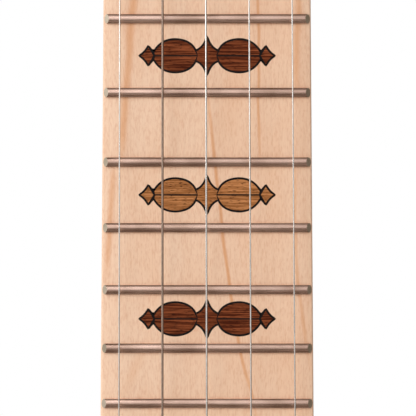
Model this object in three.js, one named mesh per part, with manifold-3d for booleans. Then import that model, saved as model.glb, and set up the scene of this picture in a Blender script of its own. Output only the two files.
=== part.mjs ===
// Five-string open-back banjo with a flat maple fingerboard, in millimetres.
// +Z runs up the neck to the peghead, the playing side faces -Y and +X is the treble side.
// z = 0 is the playing edge of the nut and x = 0 the centre line of the pot. The board's face has a negative y.
import * as THREE from 'three';
import { mergeVertices } from 'three/addons/utils/BufferGeometryUtils.js';
import Module from 'manifold-3d';

const wasm = await Module();
wasm.setup();

// Clearances
const SEAT_GAP = 0.3;
const CUT_OVERRUN = 3;
const MERGE_DISTANCE = 0.0001;

// Scale and fingerboard
const SCALE_LENGTH = 667;
const FRET_COUNT = 22;
const FRETS_PER_OCTAVE = 12;
const BOARD_PAST_LAST_FRET = 9.17;
const BOARD_THICKNESS = 5;
const BOARD_FACE_DEPTH = 10;
const TREBLE_EDGE_AT_NUT = 20.9;
const TREBLE_EDGE_AT_END = 24.35;
const BASS_EDGE_AT_NUT = 13;
const BASS_EDGE_AT_SHOULDER = 13.45;
const SHOULDER_LENGTH = 18;
const SHOULDER_TO_FIFTH_PEG = 6;
const SHOULDER_STEPS = 7;
const BOARD_END_GAP = 2.6;
const BOARD_END_STEPS = 4;

// Fret wire
const FRET_CROWN_WIDTH = 2.1;
const FRET_CROWN_HEIGHT = 1.1;
const FRET_CROWN_HALF_TURN = THREE.MathUtils.degToRad(50);
const FRET_TANG_WIDTH = 0.5;
const FRET_TANG_DEPTH = 1.6;
const FRET_END_INSET = 0.1;
const FRET_END_BEVEL = 1.1;
const FRET_CROWN_STEPS = 5;

// Position markers: the spaces that hold one, and the leaf and lozenge outline as shares of half its size
const MARKER_FRETS = [3, 5, 7, 10, 12, 15, 17, 19];
const MARKER_WIDTH = 30.6;
const MARKER_HEIGHT = 8.6;
const MARKER_DEPTH = 1.5;
const NARROW_MARKER_SHARE = 0.8;
const MARKER_CURVE_STEPS = 3;
const MARKER_QUARTER_SHARES = [
  { from: [0, 1], pull: [0.05, 0.4], to: [0.17, 0.26] },
  { from: [0.17, 0.26], pull: [0.24, 0.82], to: [0.46, 0.86] },
  { from: [0.46, 0.86], pull: [0.68, 0.88], to: [0.79, 0.18] },
  { from: [0.79, 0.18], pull: [0.83, 0.3], to: [0.87, 0.5] },
  { from: [0.87, 0.5], pull: [0.92, 0.16], to: [1, 0] },
];
const MITRE_LIMIT_SHARE = 0.45;

// Nut and fifth-string pip
const NUT_THICKNESS = 5;
const NUT_EDGE_INSET = 0.3;
const NUT_HEIGHT_ABOVE_BOARD = 2.9;
const NUT_SLOT_FALL = 0.35;
const PIP_RADIUS = 1.5;
const PIP_HEIGHT = 1.5;
const PIP_FRET = 5;
const PIP_TO_FRET = 4.3;
const PIP_X = -19.3;
const PIP_SIDES = 8;

// Strings, first to fifth: plain steel but for the wound fourth
const STRING_DIAMETERS = [0.254, 0.305, 0.381, 0.508, 0.254];
const STRING_SIDES = 5;
const STRING_HEIGHT_AT_NUT = 1.5;
const NUT_FIRST_STRING_X = 16.4;
const NUT_STRING_SPACING = 8.73;
const BRIDGE_FIRST_STRING_X = 21.1;
const BRIDGE_STRING_SPACING = 10.35;
const WINDING_TURNS = 3;
const WINDING_STEPS_PER_TURN = 10;
const WINDING_TURN_GAP = 0.46;
const TAIL_LOOP_TURN_SHARE = 0.8;
const TAIL_LOOP_STEPS = 8;

// Neck
const NECK_DEPTH_AT_NUT = 15;
const NECK_DEPTH_AT_HEEL = 17.5;
const NECK_SECTION_STEPS = 16;
const NECK_ROUND_SHARE = 0.82;
const NECK_STATION_SPACING = 48;
const NECK_TOP_OVERLAP = 17;
const HEEL_LENGTH = 62;
const HEEL_FOOT_TO_BOARD_END = 23;
const HEEL_DEPTH = 67;
const HEEL_FOOT_HALF_WIDTH = 12;
const HEEL_FLANK_POWER = 2.2;
const HEEL_FOOT_FLAT_SHARE = 0.3;
const HEEL_STEPS = 9;
const HEEL_CURVE_SHARES = [[0, 0], [0.5, 0.02], [0.84, 0.33], [1, 1]];

// Peghead: outline points are shares of its half width and length
const PEGHEAD_START = 5.6;
const PEGHEAD_ANGLE = THREE.MathUtils.degToRad(14);
const PEGHEAD_THICKNESS = 14;
const PEGHEAD_LENGTH = 152;
const PEGHEAD_HALF_WIDTH = 31.5;
const PEGHEAD_CURVE_STEPS = 4;
const PEGHEAD_FADE_LENGTH = 16;
const PEGHEAD_FADE_EDGE = 4;
const PEGHEAD_FADE_STEPS = 5;
const PEGHEAD_CURVE_SHARES = [
  [[0.62, 0.08], [0.86, 0.13], [0.98, 0.24]],
  [[0.99, 0.36], [0.9, 0.44], [0.93, 0.58]],
  [[0.95, 0.72], [1.02, 0.82], [0.86, 0.9]],
  [[0.62, 0.86], [0.42, 1], [0, 1]],
];

// Truss rod in its channel under the board
const TRUSS_X = 2;
const TRUSS_RADIUS = 3;
const TRUSS_END_TO_BOARD_END = 27;
const TRUSS_SIDES = 12;
const TRUSS_NUT_RADIUS = 4.2;
const TRUSS_NUT_LENGTH = 11;
const TRUSS_NUT_START = 9.2;
const TRUSS_KEY_RADIUS = 2.3;
const TRUSS_KEY_DEPTH = 6;
const TRUSS_POCKET_HALF_WIDTH = 5.5;
const TRUSS_POCKET_START = 8;
const TRUSS_POCKET_END = 27;
const HEXAGON_SIDES = 6;

// Planetary tuning pegs
const PEG_SIDE_OFFSET = 19.5;
const PEG_ROW_SHARES = { lower: 0.33, upper: 0.67 };
const PEG_SIDES = 12;
const PEG_SLEEVE_RADIUS = 4.7;
const PEG_SLEEVE_PROUD = 4.2;
const PEG_NUT_RADIUS = 6.9;
const PEG_NUT_THICKNESS = 3;
const PEG_CUP_RADIUS = 8.5;
const PEG_CUP_WALL = 1.3;
const PEG_CUP_LENGTH = 9;
const PEG_CUP_FLOOR = 1.5;
const POST_RADIUS = 3;
const POST_WAIST_RADIUS = 2.5;
const POST_TOP = 13;
const POST_RIM = 1.4;
const POST_WAIST_FLARE = 1.3;
const POST_WAIST_END = 4.6;
const POST_HOLE_RADIUS = 0.6;
const POST_HOLE_PLACE = 9.6;
const WINDING_HEIGHT = 5.2;
const CARRIER_THICKNESS = 1.6;
const PLANET_COUNT = 3;
const PLANET_RADIUS = 2;
const SUN_RADIUS = 2;
const SUN_PLANET_GAP = 0.35;
const PLANET_LENGTH = 3;
const GEAR_SIDES = 8;
const KNOB_CAP_THICKNESS = 1.6;
const KNOB_STEM_RADIUS = 2.8;
const KNOB_STEM_LENGTH = 3;
const KNOB_WIDTH = 20;
const KNOB_LENGTH = 14;
const KNOB_THICKNESS = 8;
const KNOB_BEVEL = 1.5;
const KNOB_CURVE_STEPS = 3;
const KNOB_SHOULDER_SHARE = 0.36;

// Fifth-string peg in the bass side of the neck
const FIFTH_PEG_TO_PIP = 11;
const FIFTH_PEG_BELOW_BOARD_FACE = 4.8;
const FIFTH_SPIGOT_RADIUS = 2.6;
const FIFTH_SPIGOT_LENGTH = 14;
const FIFTH_FLANGE_RADIUS = 4.1;
const FIFTH_FLANGE_THICKNESS = 1.4;
const FIFTH_BORE_RADIUS = 1.7;
const FIFTH_POST_RADIUS = 3.6;
const FIFTH_POST_LENGTH = 5;
const FIFTH_WINDING_INSET = 1;
const FIFTH_COLLAR_RADIUS = 5;
const FIFTH_COLLAR_THICKNESS = 2;

// Pot: w is the depth behind the drum head's playing face
const POT_TILT = THREE.MathUtils.degToRad(2);
const HEAD_DROP = 2.5;
const POT_SIDES = 48;
const RIM_OUTER_RADIUS = 139.7;
const RIM_WALL = 12.7;
const RIM_BACK = 66;
const RIM_EDGE_ROUND = 1.5;
const HEAD_THICKNESS = 0.5;
const FLESH_HOOP_FRONT = 8.3;
const FLESH_HOOP_BACK = 13.8;
const FLESH_HOOP_WIDTH = 5.5;
const HOOP_FRONT = 1.5;
const HOOP_BACK = 14.5;
const HOOP_COLLAR_CLEARANCE = 0.9;
const HOOP_SKIRT_WALL = 2.8;
const HOOP_NECK_NOTCH_MARGIN = 0.6;
const HOOK_COUNT = 16;
const HOOK_RADIUS = 2.2;
const CLAW_WIDTH = 4.6;
const CLAW_THICKNESS = 2.4;
const CLAW_REACH = 7.5;
const CLAW_TOP = 1.2;
const BAND_THICKNESS = 3;
const BAND_WIDTH = 12;
const BAND_FRONT_TO_ROD = 7;
const BAND_HEEL_HALF_GAP = 18;
const SHOE_RADIUS = 4.6;
const SHOE_STEPS = 4;
const HOOK_NUT_RADIUS = 4.6;
const HOOK_NUT_LENGTH = 17.7;

// Coordinator rod
const ROD_DEPTH = 38;
const ROD_RADIUS = 4.5;
const ROD_SIDES = 12;
const ROD_FLANGE_RADIUS = 9;
const ROD_FLANGE_THICKNESS = 3;
const STUD_RADIUS = 3;
const STUD_GRIP = 26;
const TAIL_NUT_RADIUS = 5.6;
const TAIL_NUT_LENGTH = 6;

// Bridge: outline points are shares of its half width and height
const BRIDGE_WIDTH = 76;
const BRIDGE_HEIGHT = 16;
const BRIDGE_BASE_THICKNESS = 9;
const BRIDGE_TOP_THICKNESS = 2.6;
const BRIDGE_NOTCH_DEPTH = 1.2;
const BRIDGE_ARCH_STEPS = 6;
const BRIDGE_END_SHARES = [[1, 0.2], [0.8, 0.42], [0.72, 0.72], [0.7, 1]];
const BRIDGE_OUTER_FOOT_SHARE = 0.7;
const BRIDGE_CENTRE_FOOT_SHARE = 0.14;
const BRIDGE_ARCH_PULL_SHARE = 0.61;

// Tailpiece: plate over the tension hoop, strap down to the coordinator rod's stud, and five pins
const TAIL_PLATE_FRONT = 110;
const TAIL_PLATE_HALF_WIDTH = 18;
const TAIL_PLATE_THICKNESS = 2;
const TAIL_PLATE_LIFT = 0.5;
const TAIL_STRAP_HALF_WIDTH = 11;
const TAIL_STRAP_PAST_ROD = 8;
const PIN_RADIUS = 1.2;
const PIN_HEIGHT = 4;
const PIN_SPACING = 6.4;
const PIN_PLACE = 125;
const PIN_SIDES = 8;

// Places that follow from the sizes above
const boardFaceY = -BOARD_FACE_DEPTH;
const glueY = boardFaceY + BOARD_THICKNESS;
const fretPlace = (fret) => SCALE_LENGTH * (1 - 2 ** (-fret / FRETS_PER_OCTAVE));
const boardLength = fretPlace(FRET_COUNT) + BOARD_PAST_LAST_FRET;
const pipFromNut = fretPlace(PIP_FRET) - PIP_TO_FRET;
const fifthPegFromNut = pipFromNut - FIFTH_PEG_TO_PIP;
const shoulderEnd = fifthPegFromNut - SHOULDER_TO_FIFTH_PEG;
const shoulderStart = shoulderEnd - SHOULDER_LENGTH;
const heelFoot = boardLength - HEEL_FOOT_TO_BOARD_END;
const heelStart = heelFoot - HEEL_LENGTH;
const trussEnd = boardLength - TRUSS_END_TO_BOARD_END;
const rimInnerRadius = RIM_OUTER_RADIUS - RIM_WALL;
const boardEndRadius = RIM_OUTER_RADIUS + BOARD_END_GAP;
const potCentreFromNut = boardLength + boardEndRadius;
const potCentreY = boardFaceY + HEAD_DROP + boardEndRadius * Math.sin(POT_TILT);
const bridgeBelowCentre = SCALE_LENGTH - potCentreFromNut;
const pegheadCentreX = (TREBLE_EDGE_AT_NUT - BASS_EDGE_AT_NUT) / 2;
const nutHalfWidth = (TREBLE_EDGE_AT_NUT + BASS_EDGE_AT_NUT) / 2;
const collarInnerRadius = RIM_OUTER_RADIUS + SEAT_GAP;
const collarOuterRadius = collarInnerRadius + HEAD_THICKNESS;
const fleshHoopOuterRadius = collarInnerRadius + FLESH_HOOP_WIDTH;
const hoopInnerRadius = collarOuterRadius + HOOP_COLLAR_CLEARANCE;
const skirtInnerRadius = fleshHoopOuterRadius + SEAT_GAP;
const hoopOuterRadius = skirtInnerRadius + HOOP_SKIRT_WALL;
const shankRadialPlace = hoopOuterRadius + SEAT_GAP + HOOK_RADIUS;
const studHoleRadius = STUD_RADIUS + SEAT_GAP;
const bandFront = ROD_DEPTH - BAND_FRONT_TO_ROD;
const bandBack = bandFront + BAND_WIDTH;
const hookNutFront = bandBack + SEAT_GAP;
const hookNutBack = hookNutFront + HOOK_NUT_LENGTH;
const tailStrapInner = hoopOuterRadius + TAIL_PLATE_LIFT;
const tailStrapOuter = tailStrapInner + TAIL_PLATE_THICKNESS;
const tailPlateBack = -(HOOP_FRONT + TAIL_PLATE_LIFT);
const tailPlateFront = tailPlateBack - TAIL_PLATE_THICKNESS;
const trussY = glueY + SEAT_GAP + TRUSS_RADIUS;
const fifthPegY = boardFaceY + FIFTH_PEG_BELOW_BOARD_FACE;

const trebleEdge = (s) => THREE.MathUtils.lerp(TREBLE_EDGE_AT_NUT, TREBLE_EDGE_AT_END, s / boardLength);
const stringDiameter = (string) => STRING_DIAMETERS[string - 1];
const nutStringX = (string) => NUT_FIRST_STRING_X - NUT_STRING_SPACING * (string - 1);
const bridgeStringX = (string) => BRIDGE_FIRST_STRING_X - BRIDGE_STRING_SPACING * (string - 1);
const pinX = (string) => PIN_SPACING * ((STRING_DIAMETERS.length + 1) / 2 - string);

// The bass edge eases out from the narrow neck to the full width at the fifth string's shoulder.
function bassEdge(s) {
  const narrow = THREE.MathUtils.lerp(BASS_EDGE_AT_NUT, BASS_EDGE_AT_SHOULDER, s / shoulderStart);
  const widening = THREE.MathUtils.smoothstep(s, shoulderStart, shoulderEnd);
  return -THREE.MathUtils.lerp(narrow, trebleEdge(s), widening);
}

// Solids
function solidOf(geometry, matrix = new THREE.Matrix4()) {
  const bare = geometry.clone().applyMatrix4(matrix);
  bare.deleteAttribute('normal');
  bare.deleteAttribute('uv');
  const merged = mergeVertices(bare, MERGE_DISTANCE);
  const mesh = new wasm.Mesh({
    numProp: 3,
    vertProperties: Float32Array.from(merged.attributes.position.array),
    triVerts: Uint32Array.from(merged.index.array),
  });
  mesh.merge();
  return new wasm.Manifold(mesh);
}

function geometryOf(solid) {
  const { vertProperties, triVerts } = solid.getMesh();
  const geometry = new THREE.BufferGeometry();
  geometry.setAttribute('position', new THREE.BufferAttribute(vertProperties, 3));
  geometry.setIndex(new THREE.BufferAttribute(triVerts, 1));
  geometry.computeVertexNormals();
  return geometry;
}

const joined = (...solids) => solids.reduce((whole, next) => whole.add(next));
const cut = (solid, ...tools) => tools.reduce((whole, next) => whole.subtract(next), solid);

// Geometry of simple shapes
const at = (x, y, z) => new THREE.Matrix4().makeTranslation(x, y, z);
const alongX = new THREE.Matrix4().makeRotationZ(Math.PI / 2);
const alongZ = new THREE.Matrix4().makeRotationX(Math.PI / 2);

function block(xs, ys, zs) {
  const geometry = new THREE.BoxGeometry(xs[1] - xs[0], ys[1] - ys[0], zs[1] - zs[0]);
  return geometry.translate((xs[0] + xs[1]) / 2, (ys[0] + ys[1]) / 2, (zs[0] + zs[1]) / 2);
}

// A round bar along Y from one height to another.
function bar(radius, from, to, sides) {
  return new THREE.CylinderGeometry(radius, radius, to - from, sides).translate(0, (from + to) / 2, 0);
}

// A turned piece about Y. Points are [radius, y], anticlockwise with the radius to the right and y up.
function turned(points, sides, closed) {
  const profile = points.map(([radius, y]) => new THREE.Vector2(radius, y));
  return new THREE.LatheGeometry(closed ? [...profile, profile[0]] : profile, sides);
}

const vector2 = ([x, y]) => new THREE.Vector2(x, y);

// A flat outline given a thickness along Z.
function plate(points, thickness) {
  return new THREE.ExtrudeGeometry(new THREE.Shape(points), { depth: thickness, bevelEnabled: false });
}

// A flat outline in x and z, given thickness from one y to another.
function slab(points, from, to) {
  return plate(points, to - from).rotateX(Math.PI / 2).translate(0, to, 0);
}

// Rings of points, all of one length, skinned into a closed body with a fan over each end.
function loft(rings) {
  const size = rings[0].length;
  const ends = [rings[0], rings[rings.length - 1]].map((ring) =>
    ring.reduce((sum, point) => sum.add(point), new THREE.Vector3()).divideScalar(size));
  const points = [...rings.flat(), ...ends];
  const index = [];
  for (let row = 0; row < rings.length - 1; row++) {
    for (let k = 0; k < size; k++) {
      const a = row * size + k;
      const b = row * size + (k + 1) % size;
      index.push(a, a + size, b, b, a + size, b + size);
    }
  }
  const last = (rings.length - 1) * size;
  const [firstCentre, lastCentre] = [rings.length * size, rings.length * size + 1];
  for (let k = 0; k < size; k++) {
    const next = (k + 1) % size;
    index.push(firstCentre, k, next, lastCentre, last + next, last + k);
  }
  return new THREE.BufferGeometry().setFromPoints(points).setIndex(index);
}

// A curve through given stations, whose steps are the stations themselves and whose tangents halve each bend.
class StationCurve extends THREE.Curve {
  constructor(stations) {
    super();
    this.stations = stations;
  }

  getPointAt(u, target = new THREE.Vector3()) {
    return target.copy(this.stations[Math.round(u * (this.stations.length - 1))]);
  }

  getTangentAt(u, target = new THREE.Vector3()) {
    const k = Math.round(u * (this.stations.length - 1));
    const before = this.stations[Math.max(k - 1, 0)];
    const here = this.stations[k];
    const after = this.stations[Math.min(k + 1, this.stations.length - 1)];
    const arriving = new THREE.Vector3().subVectors(here, before).normalize();
    const leaving = new THREE.Vector3().subVectors(after, here).normalize();
    return target.addVectors(arriving, leaving).normalize();
  }
}

function tube(stations, radius, sides) {
  const section = Array.from({ length: sides }, (_, k) => new THREE.Vector2(
    radius * Math.cos(2 * Math.PI * k / sides),
    radius * Math.sin(2 * Math.PI * k / sides),
  ));
  return new THREE.ExtrudeGeometry(new THREE.Shape(section), {
    steps: stations.length - 1,
    bevelEnabled: false,
    extrudePath: new StationCurve(stations),
  });
}

// Materials
const finish = (color, roughness, metalness = 0) => ({ color, roughness, metalness });
const FINISHES = {
  maple: finish(0xecd0ae, 0.45),
  markerWood: finish(0x5c3220, 0.5),
  bone: finish(0xeae2cf, 0.4),
  nickel: finish(0xc9b8b0, 0.25, 1),
  steel: finish(0xb9b9b8, 0.3, 1),
  chrome: finish(0xd5d7d9, 0.15, 1),
  button: finish(0xe6d9ba, 0.35),
  drumSkin: finish(0xf1eee4, 0.7),
  ebony: finish(0x2a211c, 0.5),
};

const twoDigits = (number) => String(number).padStart(2, '0');

function mesh(name, geometry, finishName) {
  const made = new THREE.Mesh(geometry, new THREE.MeshStandardMaterial(FINISHES[finishName]));
  made.name = name;
  return made;
}

// Groups: the whole banjo, the tilted pot and the angled peghead
const banjo = new THREE.Group();
const pot = new THREE.Group();
pot.position.set(0, potCentreY, -potCentreFromNut);
pot.rotation.x = POT_TILT;
const peghead = new THREE.Group();
peghead.position.set(pegheadCentreX, glueY, PEGHEAD_START);
peghead.rotation.x = -PEGHEAD_ANGLE;
banjo.add(pot, peghead);
banjo.updateMatrixWorld(true);

const inPot = (x, w, z) => new THREE.Vector3(x, w, z).applyMatrix4(pot.matrixWorld);
const inPeghead = (x, y, z) => new THREE.Vector3(x, y, z).applyMatrix4(peghead.matrixWorld);
const fromPot = (matrix = new THREE.Matrix4()) => pot.matrixWorld.clone().multiply(matrix);
const fromPeghead = (matrix) => peghead.matrixWorld.clone().multiply(matrix);

const pegs = [
  { string: 1, side: 1, row: 'lower' },
  { string: 2, side: 1, row: 'upper' },
  { string: 3, side: -1, row: 'upper' },
  { string: 4, side: -1, row: 'lower' },
].map((peg) => ({ ...peg, x: peg.side * PEG_SIDE_OFFSET, z: PEG_ROW_SHARES[peg.row] * PEGHEAD_LENGTH }));

// Neck sections: half an oval behind the glue face, blended to a flat-footed heel with hollow flanks
function neckSection(s, depth, heelShare) {
  const centre = (trebleEdge(s) + bassEdge(s)) / 2;
  const half = (trebleEdge(s) - bassEdge(s)) / 2;
  return Array.from({ length: NECK_SECTION_STEPS + 1 }, (_, k) => {
    const turn = Math.PI * k / NECK_SECTION_STEPS;
    const across = 1 - 2 * k / NECK_SECTION_STEPS;
    const oval = [half * Math.cos(turn), depth * Math.max(Math.sin(turn), 0) ** NECK_ROUND_SHARE];
    const down = Math.min((1 - Math.abs(across)) / (1 - HEEL_FOOT_FLAT_SHARE), 1);
    const flank = HEEL_FOOT_HALF_WIDTH + (half - HEEL_FOOT_HALF_WIDTH) * (1 - down) ** HEEL_FLANK_POWER;
    const foot = HEEL_FOOT_HALF_WIDTH * across / HEEL_FOOT_FLAT_SHARE;
    const heel = [Math.abs(across) > HEEL_FOOT_FLAT_SHARE ? Math.sign(across) * flank : foot, depth * down];
    const x = centre + THREE.MathUtils.lerp(oval[0], heel[0], heelShare);
    return new THREE.Vector3(x, glueY + THREE.MathUtils.lerp(oval[1], heel[1], heelShare), -s);
  });
}

// Distances from the nut at which the board's outline and the neck's sections have points.
function edgeStations(from, to) {
  const shoulder = Array.from({ length: SHOULDER_STEPS + 1 }, (_, k) =>
    THREE.MathUtils.lerp(shoulderStart, shoulderEnd, k / SHOULDER_STEPS));
  const shaft = [0];
  for (let s = NECK_STATION_SPACING; s < to; s += NECK_STATION_SPACING) {
    if (s < shoulderStart || s > shoulderEnd) {
      shaft.push(s);
    }
  }
  return [...shaft, ...shoulder].filter((s) => s > from && s < to).sort((a, b) => a - b);
}

function neckShaft() {
  const shaftDepth = (s) => THREE.MathUtils.lerp(NECK_DEPTH_AT_NUT, NECK_DEPTH_AT_HEEL, s / heelStart);
  const shaft = [-NECK_TOP_OVERLAP, ...edgeStations(-NECK_TOP_OVERLAP, heelStart)].map((s) =>
    neckSection(s, shaftDepth(s), 0));
  const heelCurve = new THREE.CubicBezierCurve(...HEEL_CURVE_SHARES.map(([along, down]) =>
    new THREE.Vector2(THREE.MathUtils.lerp(heelStart, heelFoot, along), down)));
  const heel = heelCurve.getPoints(HEEL_STEPS).map((point) => {
    const depth = THREE.MathUtils.lerp(NECK_DEPTH_AT_HEEL, HEEL_DEPTH, point.y);
    return neckSection(point.x, depth, THREE.MathUtils.smoothstep(point.x, heelStart, heelFoot));
  });
  const end = neckSection(potCentreFromNut - rimInnerRadius, HEEL_DEPTH, 1);
  return loft([...shaft, ...heel, end]);
}

// One side of the peghead's outline from the nut to the crown, in x and z of the peghead.
function pegheadOutline() {
  const scaled = ([x, z]) => new THREE.Vector2(x * PEGHEAD_HALF_WIDTH, z * PEGHEAD_LENGTH);
  const start = new THREE.Vector2(nutHalfWidth, 0);
  const side = [start];
  for (const shares of PEGHEAD_CURVE_SHARES) {
    const curve = new THREE.CubicBezierCurve(side[side.length - 1], ...shares.map(scaled));
    side.push(...curve.getPoints(PEGHEAD_CURVE_STEPS).slice(1));
  }
  const mirrored = side.slice(0, -1).reverse().map((point) => new THREE.Vector2(-point.x, point.y));
  return [...side, ...mirrored];
}

// The hollow behind the nut where the peghead's back fades into the round of the neck
function pegheadFade() {
  const hollow = Array.from({ length: PEGHEAD_FADE_STEPS + 1 }, (_, k) => {
    const share = k / PEGHEAD_FADE_STEPS;
    const taken = (PEGHEAD_THICKNESS - PEGHEAD_FADE_EDGE) * (1 - share) ** 2;
    return [PEGHEAD_THICKNESS - taken, PEGHEAD_FADE_LENGTH * share];
  });
  const back = PEGHEAD_THICKNESS + CUT_OVERRUN;
  const outline = [
    [back, -CUT_OVERRUN],
    [PEGHEAD_FADE_EDGE, -CUT_OVERRUN],
    ...hollow,
    [back, PEGHEAD_FADE_LENGTH],
  ];
  const axes = [new THREE.Vector3(0, 1, 0), new THREE.Vector3(0, 0, 1), new THREE.Vector3(1, 0, 0)];
  return plate(outline.map(vector2), PEGHEAD_HALF_WIDTH * 2)
    .applyMatrix4(new THREE.Matrix4().makeBasis(...axes))
    .translate(-PEGHEAD_HALF_WIDTH, 0, 0);
}

// What the pot, its hoop and the coordinator rod's stud take from the heel.
function potClearance() {
  const far = RIM_BACK + CUT_OVERRUN * 2;
  const front = -(BOARD_THICKNESS + HEAD_DROP) * 2;
  const rim = bar(collarInnerRadius, front, far, POT_SIDES);
  const hoop = bar(hoopOuterRadius + SEAT_GAP, front, HOOP_BACK + SEAT_GAP, POT_SIDES);
  const stud = bar(studHoleRadius, rimInnerRadius, RIM_OUTER_RADIUS + STUD_GRIP + SEAT_GAP, ROD_SIDES);
  const studPlace = fromPot(at(0, ROD_DEPTH, 0).multiply(alongZ));
  return [solidOf(rim, fromPot()), solidOf(hoop, fromPot()), solidOf(stud, studPlace)];
}

function makeNeck() {
  const headPlace = fromPeghead(at(0, 0, 0));
  const headPlank = slab(pegheadOutline(), 0, PEGHEAD_THICKNESS);
  const faceCut = block(
    [-PEGHEAD_HALF_WIDTH, PEGHEAD_HALF_WIDTH],
    [-PEGHEAD_THICKNESS, 0],
    [0, PEGHEAD_LENGTH],
  );
  const shaft = cut(solidOf(neckShaft()), solidOf(faceCut, headPlace));
  const trussHalf = TRUSS_RADIUS + SEAT_GAP;
  const channel = block(
    [TRUSS_X - trussHalf, TRUSS_X + trussHalf],
    [glueY - CUT_OVERRUN, trussY + trussHalf],
    [-trussEnd - SEAT_GAP, TRUSS_POCKET_START + CUT_OVERRUN],
  );
  const pocket = block(
    [TRUSS_X - TRUSS_POCKET_HALF_WIDTH, TRUSS_X + TRUSS_POCKET_HALF_WIDTH],
    [glueY - CUT_OVERRUN, trussY + TRUSS_POCKET_HALF_WIDTH],
    [TRUSS_POCKET_START, TRUSS_POCKET_END],
  );
  const pegHole = bar(PEG_SLEEVE_RADIUS + SEAT_GAP, -CUT_OVERRUN, PEGHEAD_THICKNESS + CUT_OVERRUN, PEG_SIDES);
  const pegHoles = pegs.map(({ x, z }) => solidOf(pegHole, fromPeghead(at(x, 0, z))));
  const whole = joined(shaft, cut(solidOf(headPlank, headPlace), solidOf(pegheadFade(), headPlace)));
  const bores = [solidOf(channel), solidOf(pocket), fifthPegBore(), ...pegHoles];
  return geometryOf(cut(whole, ...bores, ...potClearance()));
}

// Fifth-string peg: its own Y axis points out of the neck's bass side
const fifthPegPlace = at(-trebleEdge(fifthPegFromNut), fifthPegY, -fifthPegFromNut).multiply(alongX);

function fifthPegBore() {
  const radius = FIFTH_SPIGOT_RADIUS + SEAT_GAP;
  return solidOf(bar(radius, -FIFTH_SPIGOT_LENGTH - SEAT_GAP, CUT_OVERRUN, PEG_SIDES), fifthPegPlace);
}

function addFifthPeg() {
  const flange = [SEAT_GAP, SEAT_GAP + FIFTH_FLANGE_THICKNESS];
  const bushing = turned([
    [FIFTH_BORE_RADIUS, -FIFTH_SPIGOT_LENGTH],
    [FIFTH_SPIGOT_RADIUS, -FIFTH_SPIGOT_LENGTH],
    [FIFTH_SPIGOT_RADIUS, flange[0]],
    [FIFTH_FLANGE_RADIUS, flange[0]],
    [FIFTH_FLANGE_RADIUS, flange[1]],
    [FIFTH_BORE_RADIUS, flange[1]],
  ], PEG_SIDES, true);
  const post = [flange[1] + SEAT_GAP, flange[1] + SEAT_GAP + FIFTH_POST_LENGTH];
  const collarEnd = post[1] + FIFTH_COLLAR_THICKNESS;
  const stemEnd = collarEnd + KNOB_STEM_LENGTH;
  const shaft = turned([
    [0, -FIFTH_SPIGOT_LENGTH],
    [FIFTH_BORE_RADIUS - SEAT_GAP, -FIFTH_SPIGOT_LENGTH],
    [FIFTH_BORE_RADIUS - SEAT_GAP, post[0]],
    [FIFTH_POST_RADIUS, post[0]],
    [FIFTH_POST_RADIUS, post[1]],
    [FIFTH_COLLAR_RADIUS, post[1]],
    [FIFTH_COLLAR_RADIUS, collarEnd],
    [KNOB_STEM_RADIUS, collarEnd],
    [KNOB_STEM_RADIUS, stemEnd + KNOB_BEVEL],
    [0, stemEnd + KNOB_BEVEL],
  ], PEG_SIDES, false);
  const parts = [
    mesh('fifth_peg_bushing', geometryOf(solidOf(bushing)), 'chrome'),
    mesh('fifth_peg', geometryOf(joined(solidOf(shaft), solidOf(knobButton(stemEnd)))), 'button'),
  ];
  for (const part of parts) {
    part.position.set(-trebleEdge(fifthPegFromNut), fifthPegY, -fifthPegFromNut);
    part.rotation.z = Math.PI / 2;
    banjo.add(part);
  }
}

// Fingerboard
function boardOutline() {
  const endStation = (x) => potCentreFromNut - Math.sqrt(boardEndRadius ** 2 - x ** 2);
  const endHalf = trebleEdge(boardLength);
  const end = Array.from({ length: BOARD_END_STEPS + 1 }, (_, k) => {
    const x = THREE.MathUtils.lerp(-endHalf, endHalf, k / BOARD_END_STEPS);
    return [x, -endStation(x)];
  });
  const bass = [0, ...edgeStations(0, boardLength)].map((s) => [bassEdge(s), -s]);
  const treble = [trebleEdge(0), 0];
  return [treble, ...bass, ...end].map(vector2);
}

function fretSlot(fret) {
  const half = FRET_TANG_WIDTH / 2 + SEAT_GAP;
  const z = -fretPlace(fret);
  return solidOf(block(
    [-TREBLE_EDGE_AT_END - CUT_OVERRUN, TREBLE_EDGE_AT_END + CUT_OVERRUN],
    [boardFaceY - CUT_OVERRUN, boardFaceY + FRET_TANG_DEPTH + SEAT_GAP],
    [z - half, z + half],
  ));
}

function addFingerboard() {
  const plank = solidOf(slab(boardOutline(), boardFaceY, glueY));
  const slots = Array.from({ length: FRET_COUNT }, (_, k) => fretSlot(k + 1));
  const pockets = MARKER_FRETS.map((fret) => solidOf(markerPocket(fret), markerPlace(fret)));
  const pip = bar(PIP_RADIUS, boardFaceY - PIP_HEIGHT, boardFaceY + PIP_HEIGHT, PIP_SIDES);
  const drilled = cut(plank, ...slots, ...pockets, fifthPegBore());
  const whole = joined(drilled, solidOf(pip, at(PIP_X, 0, -pipFromNut)));
  banjo.add(mesh('fingerboard', geometryOf(whole), 'maple'));
}

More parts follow.
